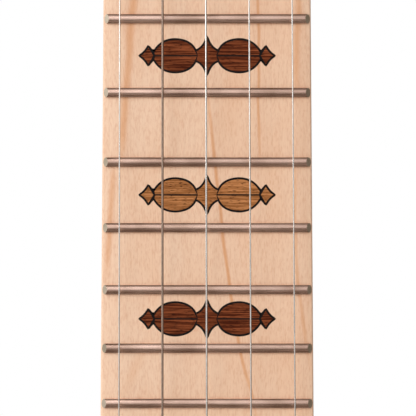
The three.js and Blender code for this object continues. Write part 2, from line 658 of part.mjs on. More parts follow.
// Frets: a crown with upright sides and an arched top, and a tang in its slot, with both ends bevelled
function fretWire(length) {
  const crownRadius = FRET_CROWN_WIDTH / 2 / Math.sin(FRET_CROWN_HALF_TURN);
  const arch = Array.from({ length: FRET_CROWN_STEPS + 1 }, (_, k) => {
    const turn = FRET_CROWN_HALF_TURN * (1 - 2 * k / FRET_CROWN_STEPS);
    return [crownRadius * Math.sin(turn), FRET_CROWN_HEIGHT - crownRadius * (1 - Math.cos(turn))];
  });
  const crown = [[FRET_CROWN_WIDTH / 2, 0], ...arch, [-FRET_CROWN_WIDTH / 2, 0]];
  const tang = [
    [-FRET_TANG_WIDTH / 2, 0],
    [-FRET_TANG_WIDTH / 2, -FRET_TANG_DEPTH],
    [FRET_TANG_WIDTH / 2, -FRET_TANG_DEPTH],
    [FRET_TANG_WIDTH / 2, 0],
  ];
  const shape = new THREE.Shape([...crown, ...tang].map(vector2));
  const geometry = new THREE.ExtrudeGeometry(shape, { depth: length, bevelEnabled: false });
  const places = geometry.attributes.position;
  for (let k = 0; k < places.count; k++) {
    const inward = FRET_END_BEVEL * Math.max(places.getY(k), 0) / FRET_CROWN_HEIGHT;
    places.setZ(k, places.getZ(k) > 0 ? length - inward : inward);
  }
  const axes = [new THREE.Vector3(0, 0, 1), new THREE.Vector3(0, -1, 0), new THREE.Vector3(1, 0, 0)];
  return geometry.applyMatrix4(new THREE.Matrix4().makeBasis(...axes));
}

function addFrets() {
  for (let fret = 1; fret <= FRET_COUNT; fret++) {
    const s = fretPlace(fret);
    const from = bassEdge(s) + FRET_END_INSET;
    const length = trebleEdge(s) - FRET_END_INSET - from;
    const wire = mesh(`fret_${twoDigits(fret)}`, fretWire(length), 'nickel');
    wire.position.set(from, boardFaceY, -s);
    banjo.add(wire);
  }
}

// Markers: a lozenge with a pointed leaf and a small lozenge on either side
function markerOutline(widthShare) {
  const scaled = ([x, z]) => new THREE.Vector2(x * widthShare * MARKER_WIDTH / 2, z * MARKER_HEIGHT / 2);
  const quarter = MARKER_QUARTER_SHARES.flatMap(({ from, pull, to }) => {
    const curve = new THREE.QuadraticBezierCurve(scaled(from), scaled(pull), scaled(to));
    return curve.getPoints(MARKER_CURVE_STEPS).slice(0, -1);
  });
  const upperRight = [...quarter, scaled([1, 0])];
  const lowerRight = quarter.map((p) => new THREE.Vector2(p.x, -p.y)).reverse();
  const right = [...upperRight, ...lowerRight];
  const left = right.slice(1, -1).map((p) => new THREE.Vector2(-p.x, p.y)).reverse();
  return [...right, ...left].reverse();
}

// An outline moved outwards by a distance, with its sharpest mitres held back.
function grown(outline, distance) {
  return outline.map((point, k) => {
    const before = outline[(k + outline.length - 1) % outline.length];
    const after = outline[(k + 1) % outline.length];
    const normals = [[before, point], [point, after]].map(([a, b]) =>
      new THREE.Vector2(b.y - a.y, a.x - b.x).normalize());
    const middle = normals[0].clone().add(normals[1]).normalize();
    const mitre = distance / Math.max(middle.dot(normals[0]), MITRE_LIMIT_SHARE);
    return point.clone().addScaledVector(middle, mitre);
  });
}

function markerShare(fret) {
  return fretPlace(fret) < shoulderStart ? NARROW_MARKER_SHARE : 1;
}

function markerPlace(fret) {
  const s = (fretPlace(fret - 1) + fretPlace(fret)) / 2;
  return at((trebleEdge(s) + bassEdge(s)) / 2, boardFaceY, -s);
}

function markerPocket(fret) {
  return slab(grown(markerOutline(markerShare(fret)), SEAT_GAP), -CUT_OVERRUN, MARKER_DEPTH + SEAT_GAP);
}

function addMarkers() {
  for (const fret of MARKER_FRETS) {
    const geometry = slab(markerOutline(markerShare(fret)), 0, MARKER_DEPTH);
    const marker = mesh(`marker_${twoDigits(fret)}`, geometry, 'markerWood');
    marker.position.setFromMatrixPosition(markerPlace(fret));
    banjo.add(marker);
  }
}

// String nut with a slot under each long string
function addNut() {
  const top = boardFaceY - NUT_HEIGHT_ABOVE_BOARD;
  const width = [-BASS_EDGE_AT_NUT + NUT_EDGE_INSET, TREBLE_EDGE_AT_NUT - NUT_EDGE_INSET];
  const blank = block(width, [top, glueY], [0, NUT_THICKNESS]);
  const slots = pegs.map(({ string }) => {
    const half = stringDiameter(string) / 2 + SEAT_GAP;
    const floor = boardFaceY - STRING_HEIGHT_AT_NUT + NUT_SLOT_FALL + half;
    const x = nutStringX(string);
    return solidOf(block(
      [x - half, x + half],
      [top - CUT_OVERRUN, floor],
      [-CUT_OVERRUN, NUT_THICKNESS + CUT_OVERRUN],
    ));
  });
  banjo.add(mesh('string_nut', geometryOf(cut(solidOf(blank), ...slots)), 'bone'));
}

// Truss rod with its key nut in the peghead's pocket
function addTrussRod() {
  const nutEnd = TRUSS_NUT_START + TRUSS_NUT_LENGTH;
  const rod = bar(TRUSS_RADIUS, -trussEnd, TRUSS_NUT_START + SEAT_GAP, TRUSS_SIDES);
  const nut = bar(TRUSS_NUT_RADIUS, TRUSS_NUT_START, nutEnd, TRUSS_SIDES);
  const key = bar(TRUSS_KEY_RADIUS, nutEnd - TRUSS_KEY_DEPTH, nutEnd + CUT_OVERRUN, HEXAGON_SIDES);
  const truss = mesh('truss_rod', geometryOf(cut(joined(solidOf(rod), solidOf(nut)), solidOf(key))), 'steel');
  truss.position.set(TRUSS_X, trussY, 0);
  truss.rotation.x = Math.PI / 2;
  banjo.add(truss);
}

// Tuning pegs: Y of each peg runs from the face of the peghead to its back
function pegHousing() {
  const bore = POST_RADIUS + SEAT_GAP;
  const cup = PEGHEAD_THICKNESS + SEAT_GAP;
  const body = turned([
    [bore, -PEG_SLEEVE_PROUD],
    [PEG_SLEEVE_RADIUS, -PEG_SLEEVE_PROUD],
    [PEG_SLEEVE_RADIUS, cup],
    [PEG_CUP_RADIUS, cup],
    [PEG_CUP_RADIUS, cup + PEG_CUP_LENGTH],
    [PEG_CUP_RADIUS - PEG_CUP_WALL, cup + PEG_CUP_LENGTH],
    [PEG_CUP_RADIUS - PEG_CUP_WALL, cup + PEG_CUP_FLOOR],
    [bore, cup + PEG_CUP_FLOOR],
  ], PEG_SIDES, true);
  const nut = bar(PEG_NUT_RADIUS, -SEAT_GAP - PEG_NUT_THICKNESS, -SEAT_GAP, HEXAGON_SIDES);
  const nutBore = bar(bore, -PEG_SLEEVE_PROUD - CUT_OVERRUN, CUT_OVERRUN, PEG_SIDES);
  return geometryOf(joined(solidOf(body), cut(solidOf(nut), solidOf(nutBore))));
}

const carrierStart = PEGHEAD_THICKNESS + SEAT_GAP + PEG_CUP_FLOOR + SEAT_GAP;
const carrierEnd = carrierStart + CARRIER_THICKNESS;
const planetPlace = SUN_RADIUS + SUN_PLANET_GAP + PLANET_RADIUS;

function pegPost() {
  const carrierRadius = PEG_CUP_RADIUS - PEG_CUP_WALL - SEAT_GAP;
  const body = turned([
    [0, -POST_TOP],
    [POST_RADIUS, -POST_TOP],
    [POST_RADIUS, -POST_TOP + POST_RIM],
    [POST_WAIST_RADIUS, -POST_TOP + POST_RIM + POST_WAIST_FLARE],
    [POST_WAIST_RADIUS, -POST_WAIST_END],
    [POST_RADIUS, -PEG_SLEEVE_PROUD],
    [POST_RADIUS, carrierStart],
    [carrierRadius, carrierStart],
    [carrierRadius, carrierEnd],
    [0, carrierEnd],
  ], PEG_SIDES, false);
  const planets = Array.from({ length: PLANET_COUNT }, (_, k) => {
    const turn = 2 * Math.PI * k / PLANET_COUNT;
    const roller = bar(PLANET_RADIUS, carrierStart + SEAT_GAP, carrierEnd + PLANET_LENGTH, GEAR_SIDES);
    return solidOf(roller, at(planetPlace * Math.cos(turn), 0, planetPlace * Math.sin(turn)));
  });
  const hole = bar(POST_HOLE_RADIUS, -POST_RADIUS * 2, POST_RADIUS * 2, HEXAGON_SIDES);
  const holePlace = at(0, -POST_HOLE_PLACE, 0).multiply(alongX);
  return geometryOf(cut(joined(solidOf(body), ...planets), solidOf(hole, holePlace)));
}

// The button: a rounded plate, wide across the axis, standing on its stem from a given height
function knobButton(from) {
  const half = KNOB_WIDTH / 2 - KNOB_BEVEL;
  const [low, high] = [KNOB_BEVEL, KNOB_LENGTH - KNOB_BEVEL];
  const shoulder = THREE.MathUtils.lerp(low, high, KNOB_SHOULDER_SHARE);
  const shape = new THREE.Shape();
  shape.moveTo(-KNOB_STEM_RADIUS, low);
  shape.lineTo(KNOB_STEM_RADIUS, low);
  shape.quadraticCurveTo(half, low, half, shoulder);
  shape.bezierCurveTo(half, high, KNOB_STEM_RADIUS, high, 0, high);
  shape.bezierCurveTo(-KNOB_STEM_RADIUS, high, -half, high, -half, shoulder);
  shape.quadraticCurveTo(-half, low, -KNOB_STEM_RADIUS, low);
  const geometry = new THREE.ExtrudeGeometry(shape, {
    depth: KNOB_THICKNESS - 2 * KNOB_BEVEL,
    bevelThickness: KNOB_BEVEL,
    bevelSize: KNOB_BEVEL,
    bevelSegments: 1,
    curveSegments: KNOB_CURVE_STEPS,
  });
  return geometry.translate(0, from, KNOB_BEVEL - KNOB_THICKNESS / 2);
}

function pegKnob() {
  const capFrom = PEGHEAD_THICKNESS + SEAT_GAP + PEG_CUP_LENGTH + SEAT_GAP;
  const capEnd = capFrom + KNOB_CAP_THICKNESS;
  const stemEnd = capEnd + KNOB_STEM_LENGTH;
  const spindle = turned([
    [0, carrierEnd + SEAT_GAP],
    [SUN_RADIUS, carrierEnd + SEAT_GAP],
    [SUN_RADIUS, capFrom],
    [PEG_CUP_RADIUS, capFrom],
    [PEG_CUP_RADIUS, capEnd],
    [KNOB_STEM_RADIUS, capEnd],
    [KNOB_STEM_RADIUS, stemEnd + KNOB_BEVEL],
    [0, stemEnd + KNOB_BEVEL],
  ], PEG_SIDES, false);
  return geometryOf(joined(solidOf(spindle), solidOf(knobButton(stemEnd))));
}

function addPegs() {
  for (const { string, x, z } of pegs) {
    const parts = [
      mesh(`peg_${string}_housing`, pegHousing(), 'chrome'),
      mesh(`peg_${string}_post`, pegPost(), 'chrome'),
      mesh(`peg_${string}_knob`, pegKnob(), 'button'),
    ];
    for (const part of parts) {
      part.position.set(x, 0, z);
      peghead.add(part);
    }
  }
}

// Pot: turned rings about the pot's own Y axis
function throughStud(from, to) {
  return solidOf(bar(studHoleRadius, from, to, ROD_SIDES), at(0, ROD_DEPTH, 0).multiply(alongZ));
}

function addRim() {
  const front = HEAD_THICKNESS + SEAT_GAP;
  const ring = turned([
    [rimInnerRadius, front + RIM_EDGE_ROUND],
    [rimInnerRadius + RIM_EDGE_ROUND, front],
    [RIM_OUTER_RADIUS, front],
    [RIM_OUTER_RADIUS, RIM_BACK],
    [rimInnerRadius, RIM_BACK],
  ], POT_SIDES, true);
  const reach = RIM_OUTER_RADIUS + CUT_OVERRUN;
  pot.add(mesh('rim', geometryOf(cut(solidOf(ring), throughStud(-reach, reach))), 'maple'));
}

function addDrumHead() {
  pot.add(mesh('drum_head', geometryOf(solidOf(turned([
    [0, 0],
    [collarOuterRadius, 0],
    [collarOuterRadius, FLESH_HOOP_FRONT],
    [fleshHoopOuterRadius, FLESH_HOOP_FRONT],
    [fleshHoopOuterRadius, FLESH_HOOP_BACK],
    [collarInnerRadius, FLESH_HOOP_BACK],
    [collarInnerRadius, HEAD_THICKNESS],
    [0, HEAD_THICKNESS],
  ], POT_SIDES, false))), 'drumSkin'));
}

const hookTurns = Array.from({ length: HOOK_COUNT }, (_, k) => 2 * Math.PI * (k + 1 / 2) / HOOK_COUNT);
const onCircle = (turn) => new THREE.Matrix4().makeRotationY(turn);

function addTensionHoop() {
  const shelf = FLESH_HOOP_FRONT - SEAT_GAP;
  const ring = turned([
    [hoopInnerRadius, -HOOP_FRONT],
    [hoopOuterRadius, -HOOP_FRONT],
    [hoopOuterRadius, HOOP_BACK],
    [skirtInnerRadius, HOOP_BACK],
    [skirtInnerRadius, shelf],
    [hoopInnerRadius, shelf],
  ], POT_SIDES, true);
  const clawHalf = CLAW_WIDTH / 2 + SEAT_GAP;
  const clawNotch = block(
    [-clawHalf, clawHalf],
    [-HOOP_FRONT - CUT_OVERRUN, CLAW_THICKNESS - CLAW_TOP + SEAT_GAP],
    [shankRadialPlace - CLAW_REACH - SEAT_GAP, hoopOuterRadius + CUT_OVERRUN],
  );
  const neckHalf = TREBLE_EDGE_AT_END + HOOP_NECK_NOTCH_MARGIN;
  const neckNotch = block(
    [-neckHalf, neckHalf],
    [-HOOP_FRONT - CUT_OVERRUN, BOARD_THICKNESS - HEAD_DROP + 2 * SEAT_GAP],
    [rimInnerRadius, hoopOuterRadius + CUT_OVERRUN],
  );
  const notches = hookTurns.map((turn) => solidOf(clawNotch, onCircle(turn)));
  pot.add(mesh('tension_hoop', geometryOf(cut(solidOf(ring), ...notches, solidOf(neckNotch))), 'chrome'));
}

// One hook with its claw, shoe and nut, standing at the pot's +Z side.
function hookSolid() {
  const shankAndNut = turned([
    [0, -CLAW_TOP],
    [HOOK_RADIUS, -CLAW_TOP],
    [HOOK_RADIUS, hookNutFront],
    [HOOK_NUT_RADIUS, hookNutFront],
    [HOOK_NUT_RADIUS, hookNutBack],
    [0, hookNutBack],
  ], HEXAGON_SIDES, false);
  const claw = block(
    [-CLAW_WIDTH / 2, CLAW_WIDTH / 2],
    [-CLAW_TOP, CLAW_THICKNESS - CLAW_TOP],
    [-CLAW_REACH, HOOK_RADIUS],
  );
  const bandMiddle = collarInnerRadius + BAND_THICKNESS / 2 - shankRadialPlace;
  const arc = Array.from({ length: SHOE_STEPS + 1 }, (_, k) => {
    const turn = Math.PI * k / SHOE_STEPS;
    return [SHOE_RADIUS * Math.cos(turn), SHOE_RADIUS * Math.sin(turn)];
  });
  const outline = [...arc, [-SHOE_RADIUS, bandMiddle], [SHOE_RADIUS, bandMiddle]].map(vector2);
  const pieces = [shankAndNut, claw, slab(outline, bandFront, bandBack)];
  return joined(...pieces.map((piece) => solidOf(piece, at(0, 0, shankRadialPlace))));
}

function addBracketBand() {
  const ring = turned([
    [collarInnerRadius, bandFront],
    [collarInnerRadius + BAND_THICKNESS, bandFront],
    [collarInnerRadius + BAND_THICKNESS, bandBack],
    [collarInnerRadius, bandBack],
  ], POT_SIDES, true);
  const heelGap = block(
    [-BAND_HEEL_HALF_GAP, BAND_HEEL_HALF_GAP],
    [bandFront - CUT_OVERRUN, bandBack + CUT_OVERRUN],
    [rimInnerRadius, hoopOuterRadius],
  );
  const tailHole = throughStud(-hoopOuterRadius, -rimInnerRadius);
  const band = cut(solidOf(ring), solidOf(heelGap), tailHole);
  const hook = geometryOf(hookSolid());
  const hooks = hookTurns.map((turn) => solidOf(hook, onCircle(turn)));
  pot.add(mesh('bracket_band', geometryOf(joined(band, ...hooks)), 'chrome'));
}

// Coordinator rod: flanges inside the rim, a stud into the heel and one through rim, band and tailpiece
function addCoordinatorRod() {
  const flangeEnd = Math.sqrt(rimInnerRadius ** 2 - ROD_FLANGE_RADIUS ** 2) - SEAT_GAP;
  const nutStart = tailStrapOuter + SEAT_GAP;
  const pieces = [
    bar(ROD_RADIUS, -flangeEnd, flangeEnd, ROD_SIDES),
    bar(ROD_FLANGE_RADIUS, flangeEnd - ROD_FLANGE_THICKNESS, flangeEnd, ROD_SIDES),
    bar(ROD_FLANGE_RADIUS, -flangeEnd, -flangeEnd + ROD_FLANGE_THICKNESS, ROD_SIDES),
    bar(STUD_RADIUS, -nutStart - TAIL_NUT_LENGTH, RIM_OUTER_RADIUS + STUD_GRIP, ROD_SIDES),
    bar(TAIL_NUT_RADIUS, -nutStart - TAIL_NUT_LENGTH, -nutStart, HEXAGON_SIDES),
  ];
  const rod = mesh('coordinator_rod', geometryOf(joined(...pieces.map((piece) => solidOf(piece)))), 'steel');
  rod.position.set(0, ROD_DEPTH, 0);
  rod.rotation.x = Math.PI / 2;
  pot.add(rod);
}

// Bridge: three feet, hollow shoulders and a thin top with a notch for each string
function bridgeOutline() {
  const scaled = ([x, y]) => new THREE.Vector2(x * BRIDGE_WIDTH / 2, y * BRIDGE_HEIGHT);
  const arch = new THREE.CubicBezierCurve(...[
    [BRIDGE_CENTRE_FOOT_SHARE, 0],
    [BRIDGE_CENTRE_FOOT_SHARE, BRIDGE_ARCH_PULL_SHARE],
    [BRIDGE_OUTER_FOOT_SHARE, BRIDGE_ARCH_PULL_SHARE],
    [BRIDGE_OUTER_FOOT_SHARE, 0],
  ].map(scaled)).getPoints(BRIDGE_ARCH_STEPS);
  const right = [...arch, scaled([1, 0]), ...BRIDGE_END_SHARES.map(scaled)];
  return [...right, ...right.map((p) => new THREE.Vector2(-p.x, p.y)).reverse()];
}

function addBridge() {
  const blank = solidOf(plate(bridgeOutline(), BRIDGE_BASE_THICKNESS), at(0, 0, -BRIDGE_BASE_THICKNESS / 2));
  const half = BRIDGE_WIDTH / 2 + CUT_OVERRUN;
  const wedge = plate([
    [BRIDGE_BASE_THICKNESS / 2, 0],
    [BRIDGE_TOP_THICKNESS / 2, BRIDGE_HEIGHT],
    [-BRIDGE_TOP_THICKNESS / 2, BRIDGE_HEIGHT],
    [-BRIDGE_BASE_THICKNESS / 2, 0],
  ].map(vector2), 2 * half);
  const wedgePlace = new THREE.Matrix4().makeRotationY(Math.PI / 2).multiply(at(0, 0, -half));
  const notches = STRING_DIAMETERS.map((diameter, k) => {
    const x = bridgeStringX(k + 1);
    const notchHalf = diameter / 2 + SEAT_GAP;
    return solidOf(block(
      [x - notchHalf, x + notchHalf],
      [BRIDGE_HEIGHT - BRIDGE_NOTCH_DEPTH, BRIDGE_HEIGHT + CUT_OVERRUN],
      [-BRIDGE_BASE_THICKNESS, BRIDGE_BASE_THICKNESS],
    ));
  });
  const thinned = blank.intersect(solidOf(wedge, wedgePlace));
  const bridge = mesh('bridge', geometryOf(cut(thinned, ...notches)), 'maple');
  bridge.position.set(0, -SEAT_GAP, -bridgeBelowCentre);
  bridge.rotation.x = Math.PI;
  pot.add(bridge);
}

function addTailpiece() {
  const cover = slab([
    [TAIL_PLATE_HALF_WIDTH, -TAIL_PLATE_FRONT],
    [TAIL_STRAP_HALF_WIDTH, -tailStrapOuter],
    [-TAIL_STRAP_HALF_WIDTH, -tailStrapOuter],
    [-TAIL_PLATE_HALF_WIDTH, -TAIL_PLATE_FRONT],
  ].map(vector2).reverse(), tailPlateFront, tailPlateBack);
  const strap = block(
    [-TAIL_STRAP_HALF_WIDTH, TAIL_STRAP_HALF_WIDTH],
    [tailPlateFront, ROD_DEPTH + TAIL_STRAP_PAST_ROD],
    [-tailStrapOuter, -tailStrapInner],
  );
  const pin = bar(PIN_RADIUS, tailPlateFront - PIN_HEIGHT, tailPlateBack, PIN_SIDES);
  const pins = STRING_DIAMETERS.map((_, k) => solidOf(pin, at(pinX(k + 1), 0, -PIN_PLACE)));
  const hole = throughStud(-tailStrapOuter - CUT_OVERRUN, -tailStrapInner + CUT_OVERRUN);
  const whole = joined(solidOf(cover), solidOf(strap), ...pins);
  pot.add(mesh('tailpiece', geometryOf(cut(whole, hole)), 'chrome'));
}

// Strings: each is one unbroken tube from its winding on the post to its loop on the tailpiece pin
function windingAngles(exitTurn, direction) {
  const count = WINDING_TURNS * WINDING_STEPS_PER_TURN;
  return Array.from({ length: count + 1 }, (_, k) => ({
    turns: k / WINDING_STEPS_PER_TURN,
    turn: exitTurn + direction * 2 * Math.PI * k / WINDING_STEPS_PER_TURN,
  })).reverse();
}

// The turn on a circle at which a line to a point outside it touches, on the side given by a sign.
function tangentTurn(dx, dy, radius, sign) {
  return Math.atan2(dy, dx) + sign * Math.acos(radius / Math.hypot(dx, dy));
}

function pegWinding({ string, side, x, z }) {
  const diameter = stringDiameter(string);
  const radius = POST_WAIST_RADIUS + SEAT_GAP + diameter / 2;
  const nutPoint = peghead.worldToLocal(new THREE.Vector3(nutStringX(string), boardFaceY, NUT_THICKNESS));
  const exit = tangentTurn(nutPoint.x - x, nutPoint.z - z, radius, -side);
  return windingAngles(exit, -side).map(({ turns, turn }) => inPeghead(
    x + radius * Math.cos(turn),
    -WINDING_HEIGHT - turns * (diameter + WINDING_TURN_GAP),
    z + radius * Math.sin(turn),
  ));
}

function fifthWinding(pipPoint) {
  const diameter = stringDiameter(5);
  const radius = FIFTH_POST_RADIUS + SEAT_GAP + diameter / 2;
  const postStart = -trebleEdge(fifthPegFromNut) - FIFTH_FLANGE_THICKNESS - 2 * SEAT_GAP;
  const centre = new THREE.Vector3(postStart - FIFTH_WINDING_INSET, fifthPegY, -fifthPegFromNut);
  const exit = tangentTurn(pipPoint.y - centre.y, pipPoint.z - centre.z, radius, -1);
  return windingAngles(exit, -1).map(({ turns, turn }) => new THREE.Vector3(
    centre.x - turns * (diameter + WINDING_TURN_GAP),
    centre.y + radius * Math.cos(turn),
    centre.z + radius * Math.sin(turn),
  ));
}

function tailLoop(string, bridgePlace) {
  const radius = PIN_RADIUS + SEAT_GAP + stringDiameter(string) / 2;
  const height = tailPlateFront - PIN_HEIGHT / 2;
  const start = tangentTurn(bridgePlace.x - pinX(string), bridgePlace.z + PIN_PLACE, radius, -1);
  return Array.from({ length: TAIL_LOOP_STEPS + 1 }, (_, k) => {
    const turn = start - 2 * Math.PI * TAIL_LOOP_TURN_SHARE * k / TAIL_LOOP_STEPS;
    return inPot(pinX(string) + radius * Math.cos(turn), height, -PIN_PLACE + radius * Math.sin(turn));
  });
}

function stringRoute(string) {
  const radius = stringDiameter(string) / 2;
  const bridgeHeight = BRIDGE_HEIGHT - BRIDGE_NOTCH_DEPTH + 2 * SEAT_GAP + radius;
  const bridgePlace = new THREE.Vector3(bridgeStringX(string), -bridgeHeight, -bridgeBelowCentre);
  const tail = [inPot(...bridgePlace.toArray()), ...tailLoop(string, bridgePlace)];
  if (string > pegs.length) {
    const pipPoint = new THREE.Vector3(PIP_X, boardFaceY - PIP_HEIGHT - SEAT_GAP - radius, -pipFromNut);
    return [...fifthWinding(pipPoint), pipPoint, ...tail];
  }
  const x = nutStringX(string);
  const nutY = boardFaceY - STRING_HEIGHT_AT_NUT;
  const nut = [new THREE.Vector3(x, nutY + NUT_SLOT_FALL, NUT_THICKNESS), new THREE.Vector3(x, nutY, 0)];
  return [...pegWinding(pegs.find((peg) => peg.string === string)), ...nut, ...tail];
}

// The least gap between a winding's own turns, measured between stations a half turn or more apart.
function leastWindingGap(route, diameter) {
  const stations = route.slice(0, WINDING_TURNS * WINDING_STEPS_PER_TURN + 1);
  const halfTurn = WINDING_STEPS_PER_TURN / 2;
  const gaps = stations.flatMap((station, k) =>
    stations.slice(k + halfTurn).map((other) => station.distanceTo(other) - diameter));
  return Math.min(...gaps);
}

function addStrings() {
  STRING_DIAMETERS.forEach((diameter, k) => {
    const route = stringRoute(k + 1);
    const length = route.slice(1).reduce((sum, point, i) => sum + point.distanceTo(route[i]), 0);
    const gap = leastWindingGap(route, diameter);
    const name = `string_${k + 1}`;
    console.log(`${name}: length ${length.toFixed(1)} mm, least gap between turns ${gap.toFixed(3)} mm`);
    banjo.add(mesh(name, tube(route, diameter / 2, STRING_SIDES), 'steel'));
  });
}

banjo.add(mesh('neck', makeNeck(), 'maple'));
addFingerboard();
addFrets();
addMarkers();
addNut();
addTrussRod();
addPegs();
addFifthPeg();
addRim();
addDrumHead();
addTensionHoop();
addBracketBand();
addCoordinatorRod();
addBridge();
addTailpiece();
addStrings();

export default banjo;
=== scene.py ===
"""Looks of a five-string open-back banjo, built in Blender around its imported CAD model.

Shapes are worked out in millimetres, in the frame of what carries them (the whole banjo, its tilted pot or its
angled peghead), and become meshes in metres in the frame of the CAD model.
"""

import logging
import math
from dataclasses import dataclass
from enum import Enum
from functools import cache
from typing import Mapping, Sequence

import bmesh
import bpy
import numpy as np
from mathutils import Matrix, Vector


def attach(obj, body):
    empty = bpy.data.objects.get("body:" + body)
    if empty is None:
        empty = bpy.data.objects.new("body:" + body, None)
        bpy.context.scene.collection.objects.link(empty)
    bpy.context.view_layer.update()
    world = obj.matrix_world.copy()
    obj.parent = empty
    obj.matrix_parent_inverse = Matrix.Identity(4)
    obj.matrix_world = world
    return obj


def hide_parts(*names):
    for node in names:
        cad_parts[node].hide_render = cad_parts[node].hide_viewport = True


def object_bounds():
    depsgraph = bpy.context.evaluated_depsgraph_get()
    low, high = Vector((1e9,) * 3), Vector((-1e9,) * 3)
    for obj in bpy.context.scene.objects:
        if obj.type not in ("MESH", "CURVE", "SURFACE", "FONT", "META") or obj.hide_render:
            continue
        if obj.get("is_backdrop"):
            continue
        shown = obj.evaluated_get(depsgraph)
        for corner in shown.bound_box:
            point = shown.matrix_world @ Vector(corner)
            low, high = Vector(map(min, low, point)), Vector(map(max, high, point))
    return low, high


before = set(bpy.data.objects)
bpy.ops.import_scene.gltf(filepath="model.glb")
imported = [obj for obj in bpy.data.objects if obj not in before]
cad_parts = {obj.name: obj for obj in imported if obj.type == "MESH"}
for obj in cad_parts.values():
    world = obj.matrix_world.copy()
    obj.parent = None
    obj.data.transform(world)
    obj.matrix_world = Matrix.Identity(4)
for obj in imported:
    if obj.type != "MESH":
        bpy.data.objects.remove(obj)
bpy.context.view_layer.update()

Array = np.ndarray
Node = bpy.types.Node
Object = bpy.types.Object
Socket = bpy.types.NodeSocket
Tree = bpy.types.NodeTree
Pair = tuple[float, float]
Triple = tuple[float, float, float]
log = logging.getLogger("banjo")

# Metres in a millimetre, and the distance in metres within which doubled points are merged
MILLIMETRE = 0.001
WELD = 0.000002
# Gap in millimetres between pieces that seat on each other, as in the CAD model
SEAT_GAP = 0.3
TAU = 2 * math.pi


# Frames

def smooth_step(t: Array) -> Array:
    """Share that eases in and out: three t squared less two t cubed, with t held between 0 and 1."""
    t = np.clip(t, 0, 1)
    return t * t * (3 - 2 * t)


def turn_about_x(degrees: float) -> Array:
    """Matrix that turns a point about the X axis.

    Args:
        degrees: the angle, by the right-hand rule.

    Returns:
        A 3 by 3 rotation matrix.
    """
    c, s = math.cos(math.radians(degrees)), math.sin(math.radians(degrees))
    return np.array([[1, 0, 0], [0, c, -s], [0, s, c]])


@dataclass(frozen=True)
class Placement:
    """Where a local frame stands in the banjo's: its tilt about X in degrees and its origin in millimetres."""

    tilt: float = 0.0
    origin: Triple = (0.0, 0.0, 0.0)

    def to_banjo(self, points: Array) -> Array:
        """Points of the local frame, turned by the tilt and moved to the origin, in the banjo's frame."""
        return points @ turn_about_x(self.tilt).T + np.array(self.origin)

    def to_local(self, points: Array) -> Array:
        """Points of the banjo's frame, moved back and turned back into the local frame."""
        return (points - np.array(self.origin)) @ turn_about_x(self.tilt)


